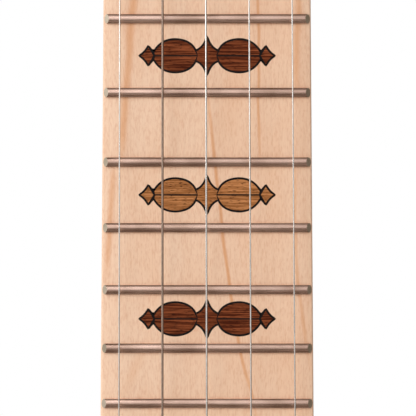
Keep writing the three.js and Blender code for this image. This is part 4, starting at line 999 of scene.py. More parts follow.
# Turned mild steel of the coordinator rod: grey, with the lathe's fine lines.
ROD = DrawnMetal("turned_steel", "#B9B8B5", 0.32, 1.0, shade_colour="#9E9C98", grain=Grain.ALONG_NECK)
# Nickel plate over polished brass or steel: the bright, slightly warm mirror of hoop, hooks and pegs.
NICKEL = Plated("nickel_plate", "#DADADA", 0.12, 1.0)
# Cattle bone, sawn, filed and polished: creamy white with faint long canals.
BONE = Speckled("polished_bone", "#EEE6D3", 0.35, ior=1.54)
# Cream cast resin of the peg buttons, tumbled to a shine.
BUTTON = Speckled("cream_button_resin", "#EADFC4", 0.28, ior=1.49, coat=0.3, second="#F3EBD8", cloud="#D9C9A6",
                  size=(1.4, 1.4, 1.4), share=0.6, depth=0.0, cloud_size=6)
# Polyester film with a sprayed grit coat: matt white with a fine tooth.
SKIN = Speckled("frosted_head_film", "#F1EFE8", 0.72, ior=1.57, second="#DEDACF", cloud="#ECE9E0",
                size=(0.35, 0.35, 0.35), share=0.35, depth=0.02, cloud_size=45)


# The fingerboard and what sits on it

@dataclass
class Fingerboard:
    """The board with its eased edges, arched end and the fifth string's pip."""

    edge_round: float = 0.45
    end_blend: float = 30.0
    pip_x: float = -19.3
    pip_radius: float = 1.5
    pip_height: float = 1.5

    def stations(self) -> Array:
        """Distances from the nut: about every four millimetres, and every one at the shoulder."""
        shoulder = np.arange(LAYOUT.fifth_peg - 30, LAYOUT.fifth_peg, 1.0)
        return np.unique(np.concatenate([np.linspace(0, LAYOUT.board_length, 120), shoulder]))

    def board(self) -> Patch:
        """Board: a rectangle with two rounded front corners, at its end bent to the arc about the pot's centre.

        Returns:
            The patch.
        """
        s = self.stations()[:, None]
        treble, bass = LAYOUT.treble_edge(s), LAYOUT.bass_edge(s)
        turn = quarter_turn(4)
        inward, down = self.edge_round * (1 - np.sin(turn)), self.edge_round * (1 - np.cos(turn))
        front = np.linspace(0, 1, 14)[None, 1:-1]
        glue = LAYOUT.glue_face + 0 * s
        left_x, right_x = bass + inward, treble - inward
        across = (bass + self.edge_round) + (treble - bass - 2 * self.edge_round) * front
        x = np.hstack([treble, right_x[:, ::-1], across[:, ::-1], left_x, bass])
        sizes = (down[::-1], np.zeros(front.shape[1]), down)
        y = np.hstack([glue, LAYOUT.board_face + np.concatenate(sizes) + 0 * s, glue])
        reach = LAYOUT.pot_centre - np.sqrt(LAYOUT.board_end_radius ** 2 - x ** 2) - LAYOUT.board_length
        blend = np.clip((s - LAYOUT.board_length + self.end_blend) / self.end_blend, 0, 1)
        rings = np.stack([x, y, -(s + reach * blend)], axis=-1)
        return skinned(rings)

    def pip(self) -> Patch:
        """Pip: a little turned post with a groove under its head.

        Returns:
            The patch.
        """
        r, h = self.pip_radius, self.pip_height
        profile = [(0, -h), (r * 0.8, -h), (r, -h + 0.3), (r * 0.85, -h / 2), (r, 0.2), (0, 0.2)]
        return moved(turned(profile, 40), (self.pip_x, LAYOUT.board_face, -LAYOUT.pip))

    def build(self) -> None:
        """Adds the board and the pip."""
        add_piece("board", [self.board()], Dressing((BOARD,), "maple_board", replaces=("fingerboard",)))
        add_piece("fifth_string_pip", [self.pip()], Dressing((BONE,), "bone"))


@dataclass
class Frets:
    """Fret wire: an arched crown with upright sides and bevelled ends, as long as the board is wide at each fret."""

    width: float = 2.1
    height: float = 0.95
    half_turn: float = 40.0
    end_inset: float = 0.25
    end_bevel: float = 1.05
    end_round: float = 0.6
    foot_sink: float = 0.2
    filed_facing: float = 0.3
    steps: int = 20

    def wire(self, number: int) -> Patch:
        """Fret: sections across the wire, a circle's arc on upright sides, with a flat bevel at each end.

        The bevel's share t runs from 0 at the foot to 1 at the crown: x = t * lean, height = t * crown. Its corners
        are rounded: the width follows the root of one less q squared, where q = 1 - x / end_round.

        Args:
            number: the fret's number.

        Returns:
            The patch.
        """
        s = LAYOUT.fret(number)
        half, reach = self.width / 2, math.radians(self.half_turn)
        turn = np.linspace(reach, -reach, self.steps + 1)
        radius = half / math.sin(reach)
        arch = self.height - radius * (1 - np.cos(turn))
        across = np.concatenate([[half], radius * np.sin(turn), [-half]])
        up = np.concatenate([[0], arch, [0]])
        lean = self.end_bevel / self.height * np.concatenate([arch[:1], arch, arch[-1:]])
        share = (np.linspace(0, 1, 13) ** 2)[:, None]
        inward = share * lean
        narrow = np.sqrt(np.maximum(1 - np.clip(1 - inward / self.end_round, 0, 1) ** 2, 0.0004))
        z = -s + across * narrow
        y = LAYOUT.board_face - share * up + self.foot_sink * (up == 0)
        low, high = LAYOUT.bass_edge(s) + self.end_inset, LAYOUT.treble_edge(s) - self.end_inset
        x = np.concatenate([low + inward, (high - inward)[::-1]])
        return skinned(np.stack([x, np.concatenate([y, y[::-1]]), np.concatenate([z, z[::-1]])], axis=-1))

    def build(self) -> None:
        """Adds every fret. The faces that look along it, those of its bevels, have the filed finish."""
        for number in range(1, LAYOUT.fret_count + 1):
            dressing = Dressing((FRET, FILED), "fret_nickel", replaces=(f"fret_{number:02d}",), sharp_angle=32)
            mesh = add_piece(f"fret_wire_{number:02d}", [self.wire(number)], dressing).data
            facing = np.empty(3 * len(mesh.polygons), np.float32)
            mesh.polygons.foreach_get("normal", facing)
            filed = (np.abs(facing[::3]) > self.filed_facing).astype(np.int32)
            mesh.polygons.foreach_set("material_index", filed)


class Shade(Enum):
    """The two woods of the markers."""

    DARK = "marker_dark"
    LIGHT = "marker_light"


@dataclass
class Markers:
    """Inlaid position markers: a lozenge, two full leaves and two end lozenges, set in black filler."""

    leaf: tuple = (((0.17, 0.26), (0.24, 0.82), (0.46, 0.86)), ((0.46, 0.86), (0.68, 0.88), (0.79, 0.18)))
    end: tuple = (((0.79, 0.18), (0.83, 0.3), (0.87, 0.5)), ((0.87, 0.5), (0.92, 0.16), (1, 0)))
    width: float = 30.6
    height: float = 8.6
    narrow_share: float = 0.8
    filler_margin: float = 0.3
    vein: float = 0.17
    proud: float = 0.02
    light_frets: tuple[int, ...] = (5, 10, 17)
    frets: tuple[int, ...] = (3, 5, 7, 10, 12, 15, 17, 19)

    def mirrored(self, quarter: Array) -> Array:
        """Closed outline from its quarter, mirrored in both axes.

        Args:
            quarter: points from the z axis to the x axis.

        Returns:
            Points going round once.
        """
        right = np.concatenate([quarter, (quarter * (1, -1))[::-1][1:]])
        left = (right * (-1, 1))[::-1][1:-1]
        return np.concatenate([right, left])

    def whole_outline(self) -> Array:
        """Outline in shares: quadratic curves from the lozenge over the leaf to the end lozenge's point."""
        curves = [((0, 1), (0.05, 0.4), (0.17, 0.26)), *self.leaf, *self.end]
        return self.mirrored(np.concatenate([bezier(c, 14)[:-1] for c in curves] + [np.array([[1.0, 0.0]])]))

    def inlays(self, half: Array) -> list[Array]:
        """Outlines of the wood, in millimetres: centre lozenge, halves of two leaves, two end lozenges.

        Args:
            half: half the marker's width and height.

        Returns:
            The outlines, each drawn in by the width of the vein.
        """
        middle = self.mirrored(np.concatenate([bezier(((0, 1), (0.05, 0.4), (0.168, 0.26)), 14), [(0.148, 0.0)]]))
        leaf = np.concatenate([bezier(self.leaf[0], 12), bezier(self.leaf[1], 12)[1:]])
        upper = np.concatenate([[(0.15, 0.0)], leaf, [(0.77, 0.0)]])
        end = np.concatenate([bezier(((0.785, 0), *self.end[0][1:]), 8), bezier(self.end[1], 8)[1:]])
        right_end = np.concatenate([end, (end * (1, -1))[::-1][1:-1]])
        pieces = [middle]
        for side in (1, -1):
            pieces += [upper * (side, 1), upper * (side, -1), right_end * (side, 1)]
        return [offset(outline * half, -self.vein) for outline in pieces]

    def build(self) -> None:
        """Adds the filler and the wood of each marker."""
        for fret in self.frets:
            s = (LAYOUT.fret(fret - 1) + LAYOUT.fret(fret)) / 2
            narrow = LAYOUT.fret(fret) < LAYOUT.shoulder_start
            half = np.array([self.width * (self.narrow_share if narrow else 1), self.height]) / 2
            place = Placement(0, ((LAYOUT.treble_edge(s) + LAYOUT.bass_edge(s)) / 2, LAYOUT.board_face, -s))
            shade = Shade.LIGHT if fret in self.light_frets else Shade.DARK
            ground = plate(offset(self.whole_outline() * half, self.filler_margin), -self.proud, 1)
            wood = [plate(outline, -2 * self.proud, 0.8) for outline in self.inlays(half)]
            add_piece(f"marker_filler_{fret:02d}", [ground], Dressing((FILLER,), shade.value), place)
            finish = LIGHT_INLAY if shade is Shade.LIGHT else DARK_INLAY
            dressing = Dressing((finish,), shade.value, replaces=(f"marker_{fret:02d}",))
            add_piece(f"marker_wood_{fret:02d}", wood, dressing, place)


@dataclass
class Nut:
    """The bone nut: a rounded bar with a slot for each of the four long strings."""

    thickness: float = 5.0
    above_board: float = 2.9
    slot_depth: float = 1.3
    slot_half: float = 0.42
    edge_inset: float = 0.3

    def build(self) -> None:
        """Adds the nut: a section that rounds over towards the peghead, its top lowered across each slot."""
        low, high = -LAYOUT.bass_at_nut + self.edge_inset, LAYOUT.treble_at_nut - self.edge_inset
        slots = np.array([Strings.nut_x(string) for string in (1, 2, 3, 4)])
        edges = slots[:, None] + np.array([-1.05, -1, -0.5, 0.5, 1, 1.05]) * self.slot_half
        x = np.unique(np.concatenate([np.linspace(low + 0.4, high - 0.4, 40), edges.ravel(), [low, high]]))
        inside = np.min(np.abs(x[:, None] - slots), axis=1) < self.slot_half * 1.01
        turn = quarter_turn(6)
        z = np.concatenate([[0, 0], [0.5], self.thickness - 3 + 3 * np.sin(turn), [self.thickness]])
        top = LAYOUT.board_face - self.above_board
        fall = 1.4 * (1 - np.cos(turn))
        y = np.concatenate([[LAYOUT.glue_face, top + 0.5], [top], top + fall, [LAYOUT.glue_face]])
        lowered = np.maximum(y[None], np.where(inside, top + self.slot_depth, -1e3)[:, None])
        end = np.isin(x, [low, high])[:, None]
        lowered = np.where(end, np.maximum(lowered, top + 0.4), lowered)
        rings = np.stack([x[:, None] + 0 * lowered, lowered, z[None] + 0 * lowered], axis=-1)
        add_piece("bone_nut", [skinned(rings)], Dressing((BONE,), "bone", replaces=("string_nut",)))


# How far each string, first to fifth, lies to the treble side of an even spacing
STRING_DRIFT = (0.11, 0.09, 0.0, -0.11, 0.22)


@dataclass
class Strings:
    """The five strings, each one tube from its winding on the post to its loop on a tailpiece pin."""

    diameters: tuple[float, ...] = (0.254, 0.305, 0.381, 0.508, 0.254)
    height_at_nut: float = 1.5
    slot_fall: float = 0.35
    turns: int = 3
    turn_steps: int = 36
    turn_gap: float = 0.46
    winding_height: float = 5.2
    post_waist: float = 2.5
    fifth_post: float = 3.6
    bridge_seat: float = 15.4
    pin_radius: float = 1.2
    pin_spacing: float = 6.4
    pin_place: float = 125.0
    pin_half_height: float = 6.0
    loop_turns: float = 0.8
    sides: int = 12
    swell: float = 0.05
    first_at_nut: float = 16.4
    nut_spacing: float = 8.73
    first_at_bridge: float = 21.1
    bridge_spacing: float = 10.35

    @staticmethod
    def nut_x(string: int) -> float:
        """The x of a long string at the nut, with its small drift from an even spacing."""
        return Strings.first_at_nut - Strings.nut_spacing * (string - 1) + STRING_DRIFT[string - 1]

    @staticmethod
    def bridge_x(string: int) -> float:
        """The x of a string at the bridge, with its small drift from an even spacing."""
        return Strings.first_at_bridge - Strings.bridge_spacing * (string - 1) + STRING_DRIFT[string - 1]

    def winding(self, aim: Pair, radius: float, sign: int, diameter: float) -> tuple[Array, Array]:
        """Angles and heights of a winding whose last point is where the line to the aim touches its circle.

        Args:
            aim: the place that the free string leaves for, from the circle's centre.
            radius: the circle's radius.
            sign: the side on which the string leaves.
            diameter: the string's diameter.

        Returns:
            Angles, and distances along the axis from the last turn.
        """
        leave = math.atan2(aim[1], aim[0]) + sign * math.acos(radius / math.hypot(*aim))
        turns = np.linspace(self.turns, 0, self.turns * self.turn_steps + 1)
        return leave + sign * TAU * turns, turns * (diameter + self.turn_gap)

    def long_start(self, string: int, diameter: float) -> Array:
        """Winding of a long string on its post, then the two places where it crosses the nut.

        Args:
            string: the string's number.
            diameter: its diameter.

        Returns:
            Stations in the banjo's frame.
        """
        peg = Peg(string)
        nut = np.array([self.nut_x(string), LAYOUT.board_face, Nut.thickness])
        across = LAYOUT.peghead.to_local(nut)
        radius = self.post_waist + SEAT_GAP + diameter / 2
        aim = (across[0] - peg.x, across[2] - peg.z)
        angle, rise = self.winding(aim, radius, -peg.side, diameter)
        post = np.stack([peg.x + radius * np.cos(angle), -self.winding_height - rise,
                         peg.z + radius * np.sin(angle)], axis=1)
        y = LAYOUT.board_face - self.height_at_nut
        crossing = np.array([[nut[0], y + self.slot_fall, nut[2]], [nut[0], y, 0]])
        return np.concatenate([LAYOUT.peghead.to_banjo(post), crossing])

    def fifth_start(self, diameter: float) -> Array:
        """Winding of the fifth string on its peg, then its place on the pip.

        Args:
            diameter: the string's diameter.

        Returns:
            Stations in the banjo's frame.
        """
        board = Fingerboard()
        pip = np.array([board.pip_x, LAYOUT.board_face - board.pip_height - SEAT_GAP - diameter / 2, -LAYOUT.pip])
        peg = FifthPeg()
        radius = self.fifth_post + SEAT_GAP + diameter / 2
        aim = (pip[1] - peg.y, pip[2] + LAYOUT.fifth_peg)
        angle, rise = self.winding(aim, radius, -1, diameter)
        start = -LAYOUT.treble_edge(LAYOUT.fifth_peg) - peg.flange_thickness - 2 * SEAT_GAP - peg.winding_inset
        post = np.stack([start - rise, peg.y + radius * np.cos(angle), -LAYOUT.fifth_peg + radius * np.sin(angle)], 1)
        return np.concatenate([post, pip[None]])

    def tail(self, string: int, diameter: float) -> Array:
        """The bridge's notch, then the loop round the pin.

        Args:
            string: the string's number.
            diameter: its diameter.

        Returns:
            Stations, worked out in the pot's frame and carried to the banjo's.
        """
        x, z = self.bridge_x(string), -LAYOUT.bridge_place
        pin = self.pin_spacing * (3 - string)
        radius = self.pin_radius + SEAT_GAP + diameter / 2
        dx, dz = x - pin, z + self.pin_place
        start = math.atan2(dz, dx) - math.acos(radius / math.hypot(dx, dz))
        angle = start - TAU * np.linspace(0, self.loop_turns, 28)
        loop = np.stack([pin + radius * np.cos(angle), np.full(28, -self.pin_half_height),
                         -self.pin_place + radius * np.sin(angle)], axis=1)
        notch = np.array([[x, -(self.bridge_seat + diameter / 2), z]])
        return LAYOUT.pot.to_banjo(np.concatenate([notch, loop]))

    def route(self, string: int) -> Array:
        """The whole route, its straight runs cut into short steps.

        Args:
            string: the string's number.

        Returns:
            Stations in millimetres.
        """
        diameter = self.diameters[string - 1]
        start = self.fifth_start(diameter) if string == 5 else self.long_start(string, diameter)
        points = np.concatenate([start, self.tail(string, diameter)])
        lengths = np.linalg.norm(np.diff(points, axis=0), axis=1)
        distance = np.concatenate([[0], np.cumsum(lengths)])
        longs = np.flatnonzero(lengths > 10)
        near = np.concatenate([distance[longs] + 0.4, distance[longs + 1] - 0.4])
        extra = np.concatenate([np.linspace(distance[k], distance[k + 1], 12) for k in longs])
        wanted = np.unique(np.concatenate([distance, near, extra]))
        return np.stack([np.interp(wanted, distance, points[:, axis]) for axis in range(3)], axis=1)

    def build(self) -> None:
        """Adds the five strings."""
        for number, diameter in enumerate(self.diameters, start=1):
            finish, slot = (WOUND_STRING, "wound_string") if number == 4 else (STEEL_STRING, "plain_string")
            start = (0.0, 1.0, 0.0) if number < 5 else (1.0, 0.0, 0.0)
            width = diameter + (0 if number == 4 else self.swell)
            patch = tube(self.route(number), self.sides, width / 2, start=start)
            dressing = Dressing((finish,), slot, replaces=(f"string_{number}",), sharp_angle=70)
            add_piece(f"string_wire_{number}", [patch], dressing)


# The neck and its tuning pegs

@dataclass
class Neck:
    """The maple neck: oval shaft, heel that flares down to the pot, and peghead with its carved outline."""

    depth_at_nut: float = 15.0
    depth_at_heel: float = 17.5
    round_share: float = 0.82
    heel_length: float = 62.0
    heel_to_board_end: float = 23.0
    heel_depth: float = 67.0
    foot_half: float = 12.0
    foot_flat: float = 0.3
    flank_power: float = 2.2
    top_overlap: float = 17.0
    head_thickness: float = 14.0
    head_length: float = 152.0
    head_half: float = 31.5
    edge_round: float = 1.2
    fade_length: float = 16.0
    fade_edge: float = 4.0
    section_steps: int = 60
    hoop_radius: float = 148.9
    hoop_back: float = 14.8

    def section(self, s: Array, depth: Array, heel: Array) -> Array:
        """Rings of the shaft.

        The shaft's half oval is the half width times the angle's cosine and the depth times a power of its sine.
        The heel's flat-footed section has hollow flanks. The two are mixed by the heel's share.

        Args:
            s: distances from the nut.
            depth: depths behind the glue face.
            heel: shares of the heel's section.

        Returns:
            Points by station, place round the section and coordinate.
        """
        s, depth, heel = (value[:, None] for value in (s, depth, heel))
        treble, bass = LAYOUT.treble_edge(s), LAYOUT.bass_edge(s)
        centre, half = (treble + bass) / 2, (treble - bass) / 2
        share = np.linspace(0, 1, self.section_steps + 1)[None]
        turn, across = math.pi * share, 1 - 2 * share
        oval_x = half * np.cos(turn)
        oval_y = depth * np.maximum(np.sin(turn), 0) ** self.round_share
        down = np.minimum((1 - np.abs(across)) / (1 - self.foot_flat), 1)
        flank = self.foot_half + (half - self.foot_half) * (1 - down) ** self.flank_power
        foot = self.foot_half * across / self.foot_flat
        heel_x = np.where(np.abs(across) > self.foot_flat, np.sign(across) * flank, foot)
        x = centre + oval_x + (heel_x - oval_x) * heel
        y = LAYOUT.glue_face + oval_y + (depth * down - oval_y) * heel
        return np.stack([x, y, -s + 0 * x], axis=-1)

    def shaft(self) -> Patch:
        """Shaft and heel: sections along the neck, held back at the pot and at the peghead's face.

        Returns:
            The patch.
        """
        foot = LAYOUT.board_length - self.heel_to_board_end
        start = foot - self.heel_length
        s = np.unique(np.concatenate([np.linspace(-self.top_overlap, start, 90),
                                      np.arange(LAYOUT.fifth_peg - 30, LAYOUT.fifth_peg, 1.0)]))
        depth = self.depth_at_nut + (self.depth_at_heel - self.depth_at_nut) * np.maximum(s, 0) / start
        along, down = bezier(((0, 0), (0.5, 0.02), (0.84, 0.33), (1, 1)), 40)[1:].T
        end = LAYOUT.pot_centre - LAYOUT.rim_inner
        s = np.concatenate([s, start + self.heel_length * along, np.linspace(foot, end, 14)[1:]])
        heel_depth = self.depth_at_heel + (self.heel_depth - self.depth_at_heel) * down
        depth = np.concatenate([depth, heel_depth, np.full(13, self.heel_depth)])
        rings = self.section(s, depth, smooth_step((s - start) / self.heel_length))
        x, y, z = rings[..., 0], rings[..., 1], rings[..., 2]
        face = LAYOUT.glue_face + (z - LAYOUT.peghead_start) * math.tan(-math.radians(LAYOUT.peghead_tilt))
        rings[..., 1] = np.where(z > LAYOUT.peghead_start, np.maximum(y, face + 0.05), y)
        w = LAYOUT.pot.to_local(np.stack([x, y, LAYOUT.pot_limit(x, y, LAYOUT.collar_inner)], -1))[..., 1]
        radius = np.where(w < self.hoop_back, self.hoop_radius, LAYOUT.collar_inner)
        rings[..., 2] = np.maximum(z, LAYOUT.pot_limit(x, y, radius))
        return skinned(rings)

    def head_outline(self) -> Array:
        """Peghead's outline: four cubic curves from the nut's width over flare, waist and horn to the crown.

        Returns:
            Points going round once.
        """
        shares = (((0.62, 0.08), (0.86, 0.13), (0.98, 0.24)), ((0.99, 0.36), (0.9, 0.44), (0.93, 0.58)),
                  ((0.95, 0.72), (1.02, 0.82), (0.86, 0.9)), ((0.62, 0.86), (0.42, 1), (0, 1)))
        start = ((LAYOUT.treble_at_nut + LAYOUT.bass_at_nut) / 2, 0.0)
        side = np.array([start])
        for curve in shares:
            points = [tuple(side[-1])] + [(x * self.head_half, z * self.head_length) for x, z in curve]
            side = np.concatenate([side, bezier(points, 16)[1:]])
        return np.concatenate([side, (side * (-1, 1))[::-1][1:]])

    def head(self) -> Patch:
        """Peghead: the outline carried from face to back, drawn in at both edges by a quarter round.

        Returns:
            The patch.
        """
        turn = quarter_turn(4)
        inset = self.edge_round * (1 - np.cos(turn))
        drop = self.edge_round * (1 - np.sin(turn))
        levels = np.concatenate([np.stack([inset[::-1], drop[::-1]], 1),
                                 np.stack([inset, self.head_thickness - drop], 1)])
        outline = self.head_outline()
        return skinned(np.stack([np.insert(offset(outline, -i), 1, y, axis=1) for i, y in levels]))

    def fade(self) -> Patch:
        """The hollow where the peghead's back fades into the neck: a square curve of the height above the nut.

        Returns:
            The patch that cuts it.
        """
        share = np.linspace(0, 1, 17)
        y = self.head_thickness - (self.head_thickness - self.fade_edge) * (1 - share) ** 2
        back = self.head_thickness + 2
        outline = np.concatenate([[(back, -3), (self.fade_edge, -3)], np.stack([y, self.fade_length * share], 1),
                                  [(back, self.fade_length)]])
        return skinned(np.stack([np.insert(outline, 0, x, axis=1) for x in (-self.head_half, self.head_half)]))

    def build(self) -> None:
        """Adds the neck: shaft and faded peghead joined, with the truss rod's pocket cut in."""
        neck = new_object("maple_neck", mesh_of("maple_neck", [self.head()], LAYOUT.peghead))
        combine(neck, "DIFFERENCE", [self.fade()], LAYOUT.peghead)
        combine(neck, "UNION", [self.shaft()], BANJO)
        rod = TrussRod()
        pocket = rounded_rectangle(rod.pocket_half, (rod.pocket_end - rod.pocket_start) / 2, rod.pocket_round)
        pocket += (rod.x, (rod.pocket_start + rod.pocket_end) / 2)
        combine(neck, "DIFFERENCE", [plate(pocket, rod.pocket_front, rod.y + rod.pocket_half)], BANJO)
        dressed(neck, Dressing((NECK,), "maple", replaces=("neck",), sharp_angle=38))


@dataclass
class TrussRod:
    """The rod's key nut, seen in its pocket behind the nut. The rod itself lies under the board."""

    x: float = 2.0
    y: float = -1.7
    radius: float = 3.0
    end_to_board_end: float = 27.0
    nut_radius: float = 4.2
    nut_start: float = 9.2
    nut_length: float = 11.0
    key_radius: float = 2.3
    key_depth: float = 6.0
    pocket_half: float = 5.5
    pocket_start: float = 8.0
    pocket_end: float = 27.0
    pocket_round: float = 2.5
    pocket_front: float = -9.0

    def build(self) -> None:
        """Adds the rod with its nut, whose end has a hexagon socket."""
        top = self.nut_start + self.nut_length
        key = top - self.key_depth
        end = -(LAYOUT.board_length - self.end_to_board_end)
        r, n, k = self.radius, self.nut_radius, self.key_radius
        body = turned([(0, end), (r, end), (r, self.nut_start), (n, self.nut_start), (n, top - 0.6), (n - 0.6, top),
                       (k + 0.3, top)], 48)
        socket = turned([(k + 0.3, top), (k, top - 0.3), (k, key), (0, key)], 6)
        along_neck = Placement(90, (self.x, self.y, 0))
        add_piece("truss_rod_nut", [body, socket],
                  Dressing((ROD,), "rod_steel", body="truss_rod", replaces=("truss_rod",), sharp_angle=30), along_neck)


@dataclass
class Button:
    """A peg's resin button: wide across the axis, with full cheeks and a waisted foot."""

    half_width: float = 10.0
    half_thickness: float = 4.0
    length: float = 14.0
    stem: float = 2.8

    def patch(self, base: float) -> Patch:
        """Button: ovals of changing width and thickness along the axis.

        Width and thickness follow Bezier curves of the height, and each section is a superellipse of power 2.6.

        Args:
            base: the height at which it starts.

        Returns:
            The patch.
        """
        full, thick = self.half_width, self.half_thickness
        width, height = bezier(((self.stem, 0), (self.stem, 0.02), (full * 1.02, 0), (full * 1.06, 0.4),
                                (full * 0.98, 0.85), (full * 0.5, 1.0), (0, 1.0)), 40).T
        level = np.linspace(0, 1, 41)
        depth = self.stem + (thick - self.stem) * np.sin(np.clip(level * 1.5, 0, 1) * math.pi / 2)
        depth = np.minimum(depth, thick * np.sqrt(np.maximum(1 - np.clip((level - 0.6) / 0.4, 0, 1) ** 2.4, 0)))
        turn = np.linspace(0, TAU, 48, endpoint=False)
        power = 2 / 2.6
        x = np.sign(np.cos(turn)) * np.abs(np.cos(turn)) ** power
        z = np.sign(np.sin(turn)) * np.abs(np.sin(turn)) ** power
        rings = np.stack([width[:, None] * x, base + self.length * height[:, None] + 0 * turn, depth[:, None] * z], -1)
        return skinned(rings)


@dataclass
class Peg:
    """One planetary tuning peg, in its own frame: x and z from its axis, y from the peghead's face to its back."""

    string: int
    side_offset: float = 19.5
    lower_share: float = 0.33
    upper_share: float = 0.67
    thickness: float = 14.0
    sleeve: float = 4.7
    sleeve_proud: float = 4.2
    washer: float = 7.7
    washer_thickness: float = 0.9
    hexagon: float = 6.9
    hexagon_top: float = 3.3
    cup: float = 8.5
    cup_length: float = 9.0
    post: float = 3.0
    post_waist: float = 2.5
    post_top: float = 13.0
    cap: float = 1.6
    stem_length: float = 3.0
    hole: float = 0.6
    hole_place: float = 9.6

    @property
    def side(self) -> int:
        """1 on the treble side and -1 on the bass side."""
        return 1 if self.string in (1, 2) else -1

    @property
    def x(self) -> float:
        """Place across the peghead."""
        return self.side * self.side_offset

    @property
    def z(self) -> float:
        """Place along the peghead."""
        return (self.lower_share if self.string in (1, 4) else self.upper_share) * Neck.head_length

    @property
    def place(self) -> Placement:
        """The peg's frame in the banjo's."""
        origin = LAYOUT.peghead.to_banjo(np.array([self.x, 0.0, self.z]))
        return Placement(LAYOUT.peghead_tilt, tuple(origin))

    def housing(self) -> list[Patch]:
        """Threaded sleeve, washer, hexagon nut with a chamfer, and the cup behind the peghead with its groove.

        Returns:
            The four patches.
        """
        b, back = self.post + SEAT_GAP, self.thickness + SEAT_GAP
        end = back + self.cup_length
        t, w, h, c = self.sleeve, self.washer, self.hexagon, self.cup
        proud, low, high = -self.sleeve_proud, -self.washer_thickness, -self.hexagon_top
        sleeve = turned([(b, proud), (t - 0.4, proud), (t, proud + 0.4), (t, back), (b, back)], 64, ring=True)
        washer = turned([(b, low), (w - 0.3, low), (w, low + 0.3), (w, -0.02), (b, -0.02)], 64, ring=True)
        nut = turned([(b, high), (h - 0.8, high), (h, high + 0.45), (h, low), (b, low)], 6, ring=True)
        cup = turned([(b, back), (c - 0.6, back), (c, back + 0.6), (c, end - 3.2), (c - 0.35, end - 2.9),
                      (c - 0.35, end - 2.4), (c, end - 2.1), (c, end - 0.3), (c - 0.3, end), (c - 1.3, end),
                      (c - 1.3, back + 1.5), (b, back + 1.5)], 72, ring=True)
        return [sleeve, washer, nut, cup]

    def post_patch(self) -> Patch:
        """Post: waisted above the sleeve, with a rounded top, its shaft going down into the cup.

        Returns:
            The patch.
        """
        p, w, top = self.post, self.post_waist, -self.post_top
        bottom = self.thickness + 3.4
        waist = bezier(((p, top + 1.4), (p * 0.97, top + 1.9), (w, top + 1.9), (w, top + 2.7)), 6)
        foot = bezier(((w, -4.6), (w, -4.3), (p, -4.4), (p, -self.sleeve_proud)), 5)
        points = [(0, top + 0.25), (0.7, top + 0.1), (0.9, top), (p - 0.45, top), (p - 0.1, top + 0.2), (p, top + 0.5)]
        points += [*waist, *foot, (p, bottom), (6.5, bottom), (6.5, bottom + 1.4), (0, bottom + 1.4)]
        return turned(points, 56)

    def cap_patches(self) -> list[Patch]:
        """Knob's plated cap with a rounded edge, its stem, and the screw head in the button's end.

        Returns:
            The two patches.
        """
        start = self.thickness + 2 * SEAT_GAP + self.cup_length
        end = start + self.cap
        stem = end + self.stem_length
        tip = stem + Button.length
        c = self.cup
        cap = turned([(0, start), (c - 0.3, start), (c, start + 0.3), (c, end - 0.6), (c - 0.6, end), (3.8, end + 0.2),
                      (2.9, end + 0.9), (2.6, stem - 0.6), (3.3, stem - 0.2), (3.3, stem + 0.6), (0, stem + 0.6)], 72)
        screw = turned([(0, tip - 1), (2.3, tip - 1), (2.3, tip - 0.2), (1.9, tip + 0.25), (0, tip + 0.4)], 40)
        return [cap, screw]

    def build(self) -> None:
        """Adds the housing on the neck, the post and the knob, each on its own body."""
        n = self.string
        add_piece(f"peg_housing_{n}", self.housing(),
                  Dressing((NICKEL,), "peg_plate", replaces=(f"peg_{n}_housing",)), self.place)
        post = new_object(f"peg_post_{n}", mesh_of(f"peg_post_{n}", [self.post_patch()], self.place))
        drilled = np.array([[-9.0, -self.hole_place, 0], [9.0, -self.hole_place, 0]])
        drill = tube(drilled, 20, self.hole, start=(0, 1, 0))
        combine(post, "DIFFERENCE", [drill], self.place)
        dressed(post, Dressing((NICKEL,), "peg_plate", body=f"peg_{n}_post", replaces=(f"peg_{n}_post",)))
        knob = f"peg_{n}_knob"
        add_piece(f"peg_cap_{n}", self.cap_patches(), Dressing((NICKEL,), "peg_plate", body=knob), self.place)
        base = self.thickness + 2 * SEAT_GAP + self.cup_length + self.cap + self.stem_length
        add_piece(f"peg_button_{n}", [Button().patch(base)],
                  Dressing((BUTTON,), "peg_button", body=knob, replaces=(knob,), sharp_angle=60), self.place)


